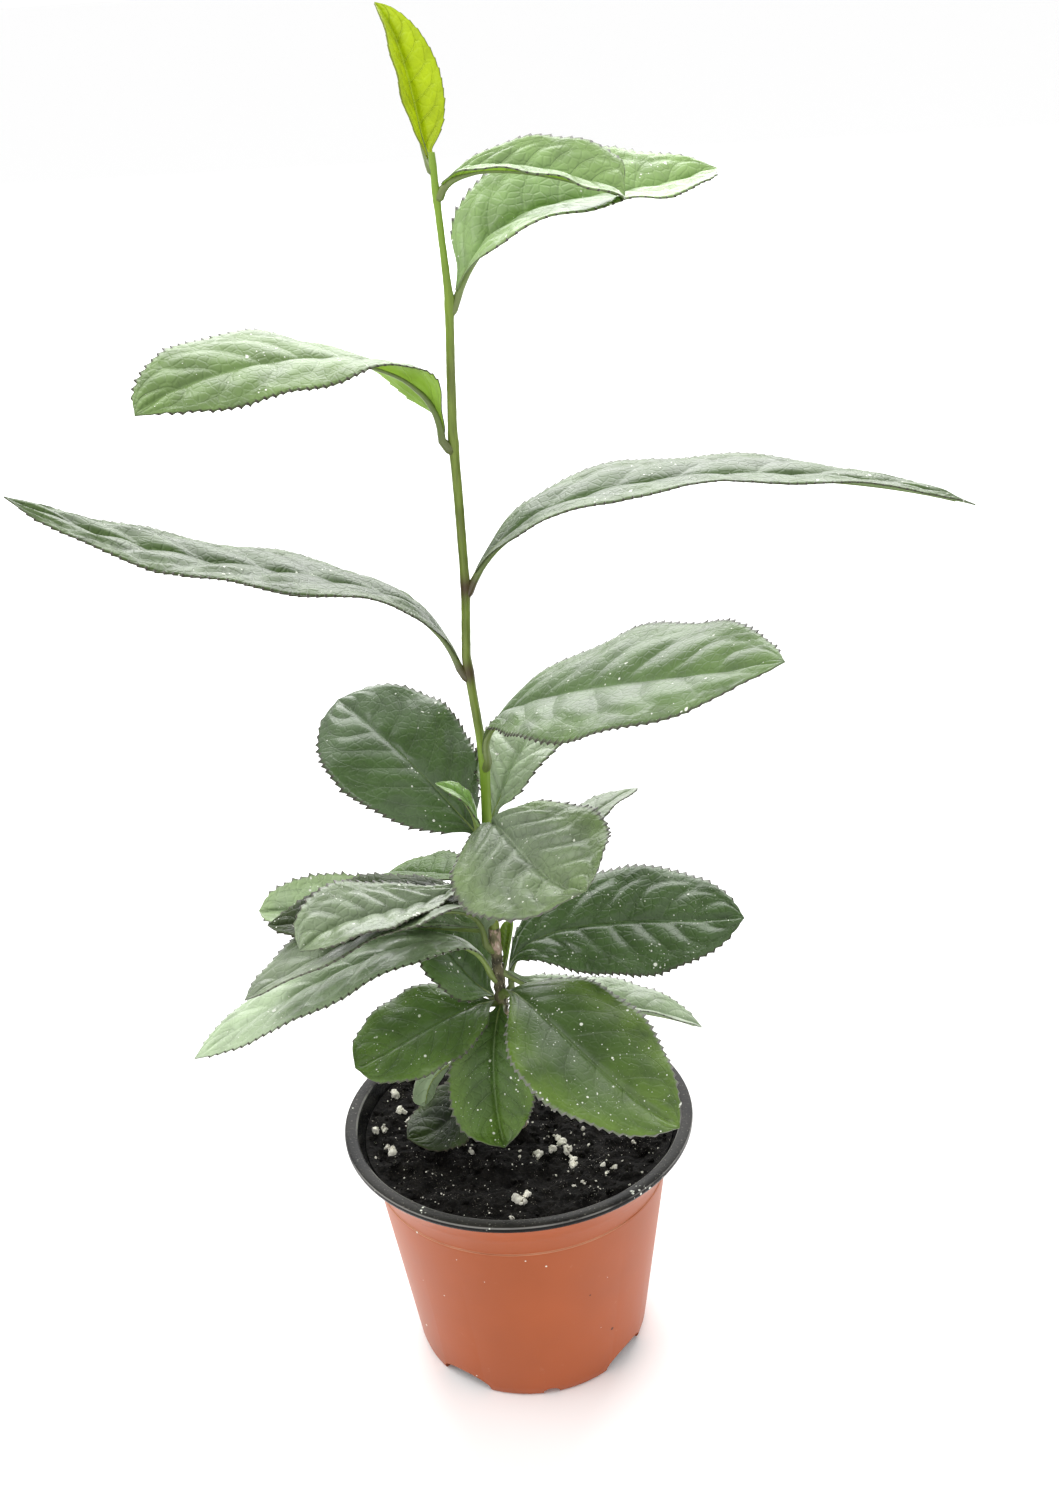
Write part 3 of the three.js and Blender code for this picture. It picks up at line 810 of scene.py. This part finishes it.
def bark(colours):
    """Olive-brown scaly wood with pale flecks."""
    nodes = Nodes("bark", roughness=0.85)
    place = nodes.place()
    stretched = nodes.drawn_out(place, 0.35)
    scales = nodes.noise(stretched, 700.0, 5.0, 0.65)
    patches = nodes.noise(place, 160.0, 3.0)
    flecks = nodes.noise(stretched, 1500.0, 2.0)
    colour = nodes.blend(scales.rise(0.35, 0.65), tint(colours.bark, 0.25), colours.bark)
    colour = nodes.blend(patches.rise(0.52, 0.68), colour, tint(colours.bark, 1.6))
    colour = nodes.blend(patches.rise(0.56, 0.62) * flecks.rise(0.4, 0.55), colour, (0.42, 0.3, 0.24))
    colour = nodes.blend(flecks.rise(0.62, 0.7), colour, (0.6, 0.52, 0.42))
    nodes.relief(scales + flecks * 0.4, 0.5 * MM, 1.0)
    return nodes.finish(base_color=colour)


def green_bark(colours):
    """The shoot's smooth green skin, browner at some of its joints."""
    nodes = Nodes("green_bark", roughness=0.4, specular_ior_level=0.3)
    place = nodes.place()
    stretched = nodes.drawn_out(place, 0.12)
    streaks = nodes.noise(stretched, 900.0, 3.0)
    patches = nodes.noise(place, 60.0, 2.0)
    level = nodes.parts(place)[2]
    fresh = level.rise(0.15, 0.165) * (1 - level.rise(0.196, 0.21)) + level.rise(0.30, 0.345)
    colour = nodes.blend(streaks.rise(0.3, 0.7), tint(colours.shoot, 0.7), tint(colours.shoot, 1.2))
    colour = nodes.blend(patches.rise(0.45, 0.7) * 0.25, colour, tint(colours.bark, 1.1))
    colour = nodes.blend(fresh * 0.7, colour, colours.young)
    colour = nodes.blend(nodes.painted("knot"), colour, colours.knot)
    nodes.relief(streaks, 0.2 * MM, 0.6)
    return nodes.finish(base_color=colour)


def stem(node, name, sizes, material, rough, seed):
    """One length of stem: a fine tube round the CAD levels, swollen at each leaf's foot."""
    low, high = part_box(node)
    levels = np.append(np.arange(low.z, high.z, sizes.stem_step), high.z)
    x, y, radius = on_the_stem(levels, X, Y, RADIUS)
    joints = np.array([leaf_lines(leaf_node)[0][0, 2] for leaf_node in LEAVES])
    brown = np.array([ramp(leaf_like.foot, 0.3, 1.0) for leaf_like in LEAVES.values()])
    near = np.exp(-(((levels[:, None] - joints + 1.5 * MM) / sizes.knot_height) ** 2))
    turns = np.linspace(0, 2 * math.pi, STEM_CORNERS + 1)[:, None]
    grain = soft_noise(levels / (1.6 * MM) + np.cos(turns) * 2, 2.2 * np.sin(turns), seed)
    fine = soft_noise(levels / (0.7 * MM), 3 * np.cos(turns - 1) + 20, seed + 1)
    radii = radius * (1.08 + sizes.knot_swell * near.max(1)) + rough * (0.65 * grain + 0.35 * fine)
    radii[-1] = radii[0]
    centres = np.stack([x, y, levels], axis=1)
    side = np.tile((1.0, 0.0, 0.0), (len(levels), 1))
    up = np.tile((0.0, 1.0, 0.0), (len(levels), 1))
    piece = sleeve(name, centres, side, up, radii, STEM_CORNERS)
    heights = np.array([vertex.co.z for vertex in piece.data.vertices])
    paint(piece, "knot", np.interp(heights, levels, (near * brown).max(1)))
    smooth_shade(piece, 60)
    hand_over(piece, (material,), node)


class TeaStemSizes(bpy.types.PropertyGroup):
    stem_step: length_setting("Step", "Height between a stem's rings", 0.6 * MM)
    knot_height: length_setting("Joint Height", "How far a joint's swelling reaches up and down", 3 * MM)
    knot_swell: FloatProperty(
        name="Joint Swelling", description="How much thicker the stem is at a joint",
        default=0.18, subtype="FACTOR")


class TEA_OT_stem(bpy.types.Operator):
    """Add the woody base and the green shoot of the stem"""

    bl_idname = "tea.stem"
    bl_label = "Stem"

    def execute(self, context):
        sizes, colours = context.scene.tea_stem, context.scene.tea_colours
        stem("stem_woody_base", "wood", sizes, bark(colours), 0.35 * MM, 41)
        stem("stem_green_shoot", "shoot", sizes, green_bark(colours), 0.05 * MM, 43)
        return {"FINISHED"}


# ---- pot ----
def terracotta(colours, bead):
    """Smooth orange-brown plastic, a little cloudy, with scuffs, a few specks and a pale line painted at the
    moulded ledge as its highlight.
    """
    nodes = Nodes("terracotta_plastic", coat_weight=0.1, coat_roughness=0.3, specular_ior_level=0.25)
    place = nodes.place()
    cloud = nodes.noise(place, 22.0, 3.0)
    dust = nodes.noise(place, 260.0, 4.0, 0.6)
    level = nodes.parts(place)[2]
    colour = nodes.blend(cloud.rise(0.3, 0.7), tint(colours.terracotta, 0.92), tint(colours.terracotta, 1.08))
    colour = nodes.blend(dust.rise(0.66, 0.8) * 0.2, colour, (0.6, 0.3, 0.2))
    # painted highlight: a pale line at the moulded ledge, where light catches its upper side
    line = 1 - ((level - bead) * (1 / MM)).math("ABSOLUTE").rise(0.15, 0.4)
    colour = nodes.blend(line * cloud.rise(0.3, 0.5) * 0.6, colour, (0.62, 0.33, 0.2))
    distance, lots = nodes.cells(place, 170.0, dimensions="3D")
    lot, size, _ = nodes.parts(lots)
    near = (size**3 * 0.07 + 0.03 - distance).rise(0.0, 0.01)
    colour = nodes.blend(near * lot.rise(0.45, 0.46), colour, colours.dust)
    colour = nodes.blend(near * (1 - lot.rise(0.12, 0.13)), colour, tint(colours.terracotta, 0.2))
    nodes.relief(dust, 0.05 * MM, 0.3)
    return nodes.finish(base_color=colour, roughness=cloud * 0.12 + 0.36)


def black_plastic(colours, height):
    """Black plastic with a pale line painted along the top's outer edge as its highlight, duller and lighter
    grey on top with dusty grit, and dried splashes of soil.
    """
    nodes = Nodes("black_plastic", specular_ior_level=0.12)
    place = nodes.place()
    cloud = nodes.noise(place, 70.0, 4.0)
    splash = nodes.noise(place, 90.0, 2.0)
    grit = nodes.noise(place, 1300.0, 3.0, 0.6)
    distance, lots = nodes.cells(place, 900.0, dimensions="3D")
    near = (nodes.parts(lots)[1] * 0.5 - distance).rise(0.0, 0.1)
    level = nodes.parts(place)[2]
    top = level.rise(height - 0.9 * MM, height - 0.2 * MM)
    colour = nodes.blend(cloud.rise(0.4, 0.7), colours.rim, tint(colours.rim, 2.0))
    colour = nodes.blend(top * cloud.rise(0.3, 0.6) * 0.5, colour, (0.034, 0.031, 0.026))
    # painted highlight: a thin pale line along the rounded outer edge of the top
    painted_edge_highlight = 1 - (level * (1 / MM) - height / MM + 0.45).math("ABSOLUTE").rise(0.1, 0.3)
    colour = nodes.blend(painted_edge_highlight * cloud.rise(0.3, 0.55) * 0.8, colour, (0.22, 0.215, 0.2))
    colour = nodes.blend(grit.rise(0.6, 0.68) * (top * 0.4 + 0.1), colour, (0.2, 0.18, 0.155))
    colour = nodes.blend(near * splash.rise(0.6, 0.66), colour, colours.dust)
    nodes.relief(grit, 0.1 * MM, 0.6)
    return nodes.finish(base_color=colour, roughness=cloud * 0.12 + top * 0.25 + 0.12)


def arch(name, turn, width, rise, radius, deep):
    """A cutter for an arched drain that reaches a given depth into the pot's foot."""
    deselect()
    bpy.ops.mesh.primitive_cylinder_add(vertices=32, radius=1, depth=1, rotation=(0, math.pi / 2, 0))
    cutter = added(name)
    settle(cutter)
    for vertex in cutter.data.vertices:
        if vertex.co.z < -0.1:
            vertex.co.z = -2
    cutter.scale = (deep + 3 * MM, width / 2, rise * 0.75)
    cutter.location = (radius + 1.5 * MM - deep / 2, 0, rise * 0.25)
    settle(cutter)
    cutter.rotation_euler.z = turn
    return settle(cutter)


NOTCH_DEPTH, WEEP_DEPTH = 11 * MM, 3 * MM  # how far each kind of arch reaches in from the foot's edge
LEDGE_HIGHLIGHT_DROP = 0.55 * MM  # from the shoulder down to the ledge, where a pale line is painted as its highlight


def pot(sizes, colours):
    """The outer shell, spun from its profile, with drain arches cut in its foot."""
    foot, wall, floor = sizes.foot_radius / MM, sizes.wall / MM, sizes.floor / MM
    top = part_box("pot")[1].z / MM
    shoulder, level = sizes.shoulder_radius / MM, sizes.shoulder_height / MM
    bead = [(shoulder - 0.1, level - 1.6), (shoulder + 0.02, level - 0.8), (shoulder - 0.02, level - 0.65)]
    bead += [(shoulder - 0.22, level - 0.5), (shoulder - 0.15, level), (shoulder + 0.2, level + 1.3)]
    collar = [(shoulder + 1, level + 4), (shoulder + 1.9, level + 6), (shoulder + 3.3, level + 8)]
    collar += [(shoulder + 6, level + 12), (shoulder + 7, top)]
    outer = [(0, 0), (foot - 1.4, 0), (foot - 0.3, 0.4), (foot, 1), (foot + 0.7, 3.5), *bead, *collar]
    inner = [(radius - wall, height) for radius, height in reversed(collar)]
    inner += [(shoulder - wall, level), (foot + 0.7 - wall, 3.5), (foot - 1.6, floor), (0, floor)]
    piece = turned("pot_shell", outer + inner, sizes.turns)
    cutters = []
    notch = (sizes.notch_turn, sizes.notch_width, sizes.notch_height, NOTCH_DEPTH)
    weep = (sizes.weep_turn, sizes.weep_width, sizes.weep_height, WEEP_DEPTH)
    for number in range(4):
        for name, (turn, width, rise, deep) in (("notch", notch), ("weep", weep)):
            turn = math.radians(turn + 90 * number)
            cutters.append(arch(name, turn, width, rise, sizes.foot_radius, deep))
    cutter = join("drains", cutters)
    modify(piece, "BOOLEAN", object=cutter, operation="DIFFERENCE", solver="EXACT", use_self=True)
    bpy.data.objects.remove(cutter)
    smooth_shade(piece, 35)
    hand_over(piece, (terracotta(colours, sizes.shoulder_height - LEDGE_HIGHLIGHT_DROP),), "pot")


def liner(sizes, colours):
    """The black skin inside the pot, which folds out over the collar as the rim."""
    low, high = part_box("liner_and_rim")
    edge, top, foot = high.x / MM, high.z / MM, low.z / MM
    shoulder, level, wall = sizes.shoulder_radius / MM, sizes.shoulder_height / MM, sizes.wall / MM + 0.5
    slope = (sizes.shoulder_radius - sizes.foot_radius) / sizes.shoulder_height
    start = (shoulder - wall - slope * (level - foot), foot)
    collar = [(shoulder + 1, level + 4), (shoulder + 3.3, level + 8), (shoulder + 6, level + 12)]
    outside = [start, (shoulder - wall, level), *[(radius - wall, height) for radius, height in collar]]
    lip = [
        (edge - 3.2, top - 2.3), (edge - 0.7, top - 2.3), (edge - 0.2, top - 2.0), (edge, top - 1.5),
        (edge, top - 0.6), (edge - 0.25, top - 0.15), (edge - 0.8, top), (edge - 3.1, top - 0.1),
        (edge - 3.7, top - 0.4), (edge - 4.1, top - 1.1),
    ]
    inside = [(radius - 1.1, height) for radius, height in reversed(outside)]
    piece = turned("rim_skin", [*outside, *lip, *inside, outside[0]], sizes.turns)
    smooth_shade(piece, 40)
    hand_over(piece, (black_plastic(colours, high.z),), "liner_and_rim")


class TeaPotSizes(bpy.types.PropertyGroup):
    foot_radius: length_setting("Foot Radius", "Radius of the pot at its foot", 35.2 * MM)
    shoulder_radius: length_setting(
        "Shoulder Radius", "Radius where the straight wall meets the collar", 44 * MM)
    shoulder_height: length_setting(
        "Shoulder Height", "Height where the straight wall meets the collar", 62 * MM)
    wall: length_setting("Wall", "Thickness of the shell's wall", 1.6 * MM)
    floor: length_setting("Floor", "Thickness of the shell's floor", 2.5 * MM)
    notch_turn: FloatProperty(
        name="Drain Turn", description="Degrees from +X to the first wide drain", default=52.5)
    notch_width: length_setting("Drain Width", "Width of a wide drain arch", 17.5 * MM)
    notch_height: length_setting("Drain Height", "Height of a wide drain arch", 5.6 * MM)
    weep_turn: FloatProperty(
        name="Weep Turn", description="Degrees from +X to the first small arch", default=7.5)
    weep_width: length_setting("Weep Width", "Width of a small arch between the drains", 5 * MM)
    weep_height: length_setting("Weep Height", "Height of a small arch between the drains", 2.4 * MM)
    turns: IntProperty(name="Sides", description="Sides of a turned piece", default=128)


class TEA_OT_pot(bpy.types.Operator):
    """Add the pot's shell and its black inner skin with the rim"""

    bl_idname = "tea.pot"
    bl_label = "Pot"

    def execute(self, context):
        pot(context.scene.tea_pot, context.scene.tea_colours)
        liner(context.scene.tea_pot, context.scene.tea_colours)
        return {"FINISHED"}


# ---- soil ----
def peat(colours):
    """Damp black-brown peat with fine paler fibres and grit."""
    nodes = Nodes("peat", roughness=0.8, specular_ior_level=0.1)
    place = nodes.place()
    lumps = nodes.noise(place, 350.0, 5.0, 0.6)
    fibres = nodes.noise(place, 1400.0, 3.0)
    grit = nodes.noise(place, 2600.0, 2.0)
    patches = nodes.noise(place, 110.0, 2.0)
    colour = nodes.blend(lumps.rise(0.35, 0.7), tint(colours.peat, 0.35), tint(colours.peat, 1.3))
    colour = nodes.blend(fibres.rise(0.6, 0.7) * 0.7, colour, tint(colours.peat, 4))
    colour = nodes.blend(grit.rise(0.68, 0.72) * patches.rise(0.45, 0.6), colour, (0.45, 0.42, 0.36))
    nodes.relief(lumps + fibres * 0.5, 0.8 * MM, 1.0)
    return nodes.finish(base_color=colour)


def perlite(colours):
    """Pale pitted grains, stained in places."""
    nodes = Nodes("perlite", roughness=0.8)
    place = nodes.place()
    pits = nodes.noise(place, 900.0, 4.0)
    stain = nodes.noise(place, 300.0, 2.0)
    colour = nodes.blend(stain.rise(0.4, 0.7), colours.perlite, tint(colours.perlite, 0.6))
    colour = nodes.blend(pits.rise(0.6, 0.68), colour, (0.12, 0.1, 0.07))
    nodes.relief(pits, 0.5 * MM, 1.0)
    return nodes.finish(base_color=colour)


def soil_top(x, y, sizes):
    """The level of the soil's rough, slightly dished surface, in metres."""
    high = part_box("soil")[1]
    a, b = x / MM, y / MM
    away = np.hypot(x, y) / high.x
    lumps = 1.3 * soft_noise(a / 9 + 7, b / 9, 11) + 1.3 * soft_noise(a / 3.4, b / 3.4 + 9, 12)
    grains = 0.6 * soft_noise(a / 1.4, b / 1.4, 13) + 0.35 * soft_noise(a / 0.7, b / 0.7, 14)
    rough = (lumps + grains) * sizes.roughness * (1 - ramp(away, 0.93, 1.0))
    return high.z - sizes.sink - sizes.dish * (1 - away**2) + rough


# The bed's steps down inside the pot: shares of its depth, and how much narrower each ends.
BED_STEPS = ((0.17, 0.87), (0.53, 0.86), (0.3, 0.7))
FINE_STONE = 2.4 * MM  # stones wider than this get more faces
LUMP_SHARES = (0.95, 0.65, 0.5, 0.4)  # the stones of one placed lump, as shares of its size
CLEAR_EDGE = 1.5  # how far the stones stay from the pot's skin, in millimetres


def soil_bed(sizes, material):
    """The bed: a rough top on a plain body that fills the pot."""
    low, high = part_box("soil")
    ticks = np.linspace(-1, 1, sizes.grid)
    v, u = np.meshgrid(ticks, ticks, indexing="ij")
    x = u * np.sqrt(1 - v * v / 2) * high.x
    y = v * np.sqrt(1 - u * u / 2) * high.x
    z = soil_top(x, y, sizes)
    piece = sheet_of("peat_bed", np.stack([x, y, z], axis=2))

    def extrude_down():
        bpy.ops.mesh.select_all(action="DESELECT")
        bpy.ops.mesh.select_mode(type="EDGE")
        bpy.ops.mesh.select_non_manifold()
        deep = z[0, 0] - low.z
        for drop, shrink in BED_STEPS:
            bpy.ops.mesh.extrude_edges_move(TRANSFORM_OT_translate={"value": (0, 0, -deep * drop)})
            bpy.ops.transform.resize(value=(shrink, shrink, 1), center_override=(0, 0, 0))
        bpy.ops.mesh.edge_face_add()

    edit(piece, extrude_down, face_outwards)
    smooth_shade(piece, 60)
    hand_over(piece, (material,), "soil")


def lump(size, place, chance):
    """A small uneven stone."""
    deselect()
    bpy.ops.mesh.primitive_ico_sphere_add(subdivisions=3 if size > FINE_STONE else 2, radius=size / 2)
    piece = bpy.context.object
    spot = [chance.uniform(0, 50) for _ in range(3)]
    points = np.array([vertex.co for vertex in piece.data.vertices]) / size
    swell = soft_noise(points[:, 0] * 4 + spot[0], points[:, 1] * 4 + points[:, 2] * 5 + spot[1], 21)
    swell += 0.5 * soft_noise(points[:, 0] * 9 + spot[1], points[:, 2] * 9 + points[:, 1] * 4 + spot[2], 22)
    points *= (1 + 0.32 * swell[:, None]) * size
    piece.data.vertices.foreach_set("co", points.ravel())
    piece.scale = [chance.uniform(0.8, 1.25), chance.uniform(0.65, 1.0), chance.uniform(0.55, 0.9)]
    piece.rotation_euler = [chance.uniform(0, math.pi) for _ in range(3)]
    piece.location = place
    return settle(piece)


def scatter(name, count, smallest, largest, material, sizes, chance, extra=()):
    """Stones strewn over the soil and joined, with some lumps at listed places."""
    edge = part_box("soil")[1].x / MM - CLEAR_EDGE
    pieces = []
    spots = list(extra)
    while len(spots) < count:
        away = edge * math.sqrt(chance.random())
        turn = chance.uniform(0, 2 * math.pi)
        size = smallest + (largest - smallest) * chance.random() ** 3
        spots.append((away * math.cos(turn), away * math.sin(turn), size))
    for x, y, size in spots:
        for share in LUMP_SHARES if (x, y, size) in extra else LUMP_SHARES[:1]:
            spot = [(middle + chance.uniform(-0.35, 0.35) * size) * MM for middle in (x, y)]
            level = float(soil_top(*np.array(spot), sizes))
            pieces.append(lump(size * share * MM, (*spot, level + size * MM * 0.12), chance))
    piece = join(name, pieces)
    smooth_shade(piece, 50)
    piece.data.materials.append(material)
    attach(piece, "root")


# Larger lumps of perlite: x, y and size in millimetres.
PERLITE = (
    (0, -37, 3.6), (1, -34, 2.6), (6, -15, 3.4), (9, -14, 2.6), (11, -7, 2.2), (13, -9, 2.8), (14, -14, 2.6),
    (15, -17, 3.0), (16, -21, 2.8), (25, -22, 2.0), (27, -23, 1.8), (25, -26, 1.2), (-15, -11, 2.0),
    (-38, 18, 3.2), (-36, 9, 2.8), (-34, 6, 2.6), (-44, 1, 2.6), (-41, 2, 2.2), (-38, -8, 3.2),
    (-40, -6, 1.8), (2, 0, 1.6), (0, -12, 1.2), (18, -29, 1.4), (15, -30, 1.2), (19, -4, 1.8),
    (34, -12, 1.2), (-30, 24, 2.6),
)


class TeaSoilSizes(bpy.types.PropertyGroup):
    grid: IntProperty(name="Grid", description="Points along each side of the bed's grid", default=190)
    roughness: length_setting("Roughness", "Height of the soil's lumps", 0.8 * MM)
    sink: length_setting("Sink", "How far the rough surface lies below the plain one", 0.5 * MM)
    dish: length_setting("Dish", "How far the middle lies below the edge", 1 * MM)
    perlite: IntProperty(name="Perlite", description="Number of pale stones", default=60)
    specks: IntProperty(name="Specks", description="Number of small pale specks", default=420)
    crumbs: IntProperty(name="Crumbs", description="Number of dark crumbs", default=320)


class TEA_OT_soil(bpy.types.Operator):
    """Add the soil with its perlite, specks and crumbs"""

    bl_idname = "tea.soil"
    bl_label = "Soil"

    def execute(self, context):
        sizes, colours = context.scene.tea_soil, context.scene.tea_colours
        chance = random.Random(5)
        pale, dark = perlite(colours), peat(colours)
        soil_bed(sizes, dark)
        scatter("perlite", sizes.perlite, 0.8, 2.0, pale, sizes, chance, PERLITE)
        scatter("specks", sizes.specks, 0.2, 0.7, pale, sizes, chance)
        scatter("crumbs", sizes.crumbs, 0.8, 3.0, dark, sizes, chance)
        return {"FINISHED"}


# ---- stage ----
def area_light(name, place, target, size, power):
    """A soft square light that is aimed at a point and can't be seen itself."""
    deselect()
    bpy.ops.object.light_add(type="AREA", location=place)
    lamp = bpy.context.object
    lamp.name = name
    lamp.data.size = size
    lamp.data.energy = power
    lamp.visible_camera = False
    lamp.rotation_euler = (Vector(target) - Vector(place)).to_track_quat("-Z", "Y").to_euler()


class TeaStageSizes(bpy.types.PropertyGroup):
    lens: FloatProperty(name="Lens", description="Focal length in millimetres", default=42.0)
    tilt: FloatProperty(
        name="Tilt", description="How far the camera looks down",
        default=math.radians(24.63), subtype="ANGLE", unit="ROTATION")
    roll: FloatProperty(
        name="Roll", description="How far the camera leans",
        default=math.radians(-3.79), subtype="ANGLE", unit="ROTATION")
    place: FloatVectorProperty(
        name="Camera Place", description="Where the camera stands",
        default=(0.0106, -0.4352, 0.3978), subtype="XYZ", unit="LENGTH")
    floor_size: length_setting("Floor Size", "Width of the pale floor", 60.0)
    daylight: FloatProperty(
        name="Daylight", description="Strength of the even light from all round", default=1.03)
    key: FloatProperty(
        name="Key Light", description="Power of the light at the left", default=7.0, unit="POWER")
    back: FloatProperty(
        name="Back Light", description="Power of the broad light behind the plant", default=85.0,
        unit="POWER")


class TEA_OT_stage(bpy.types.Operator):
    """Add the pale floor, the soft lights and the camera"""

    bl_idname = "tea.stage"
    bl_label = "Stage"

    def execute(self, context):
        sizes = context.scene.tea_stage
        deselect()
        bpy.ops.mesh.primitive_plane_add(size=sizes.floor_size)
        floor = context.object
        floor.name = "pale_floor"
        white = Nodes("pale_floor", base_color=(0.96, 0.96, 0.96, 1), roughness=1.0)
        floor.data.materials.append(white.material)

        world = bpy.data.worlds.new("daylight")
        world.use_nodes = True
        background = world.node_tree.nodes["Background"].inputs
        background["Color"].default_value = (1, 1, 1, 1)
        background["Strength"].default_value = sizes.daylight
        context.scene.world = world

        target = (0, 0, 0.2)
        area_light("key", (-0.6, -0.3, 1.3), target, 0.7, sizes.key)
        area_light("back", (0.2, 2.2, 1.75), target, 2.6, sizes.back)

        deselect()
        bpy.ops.object.camera_add(location=sizes.place)
        camera = context.object
        turn = Matrix.Rotation(math.pi / 2 - sizes.tilt, 3, "X") @ Matrix.Rotation(sizes.roll, 3, "Z")
        camera.rotation_euler = turn.to_euler()
        camera.data.lens = sizes.lens
        camera.data.clip_start = 10 * MM
        context.scene.camera = camera
        context.scene.view_settings.view_transform = "Standard"
        return {"FINISHED"}


class TEA_PT_plant(bpy.types.Panel):
    """Lists the plant's pieces"""

    bl_idname = "TEA_PT_plant"
    bl_label = "Tea Plant"
    bl_space_type = "VIEW_3D"
    bl_region_type = "UI"
    bl_category = "Tea Plant"

    def draw(self, context):
        for operator in OPERATORS:
            self.layout.operator(operator.bl_idname)
        for owner in SIZES:
            group = getattr(context.scene, owner)
            for name in group.__annotations__:
                self.layout.prop(group, name)


OPERATORS = (TEA_OT_leaves, TEA_OT_stem, TEA_OT_pot, TEA_OT_soil, TEA_OT_stage)
SIZES = {
    "tea_colours": TeaColours,
    "tea_leaf": TeaLeafSizes,
    "tea_stem": TeaStemSizes,
    "tea_pot": TeaPotSizes,
    "tea_soil": TeaSoilSizes,
    "tea_stage": TeaStageSizes,
}


def register():
    for name, group in SIZES.items():
        bpy.utils.register_class(group)
        setattr(bpy.types.Scene, name, PointerProperty(type=group))
    for entry in (*OPERATORS, TEA_PT_plant):
        bpy.utils.register_class(entry)


def unregister():
    for entry in (TEA_PT_plant, *reversed(OPERATORS)):
        bpy.utils.unregister_class(entry)
    for name, group in reversed(SIZES.items()):
        delattr(bpy.types.Scene, name)
        bpy.utils.unregister_class(group)


def main():
    register()
    bpy.ops.tea.leaves()
    bpy.ops.tea.stem()
    bpy.ops.tea.pot()
    bpy.ops.tea.soil()
    bpy.ops.tea.stage()


if __name__ == "__main__":
    main()
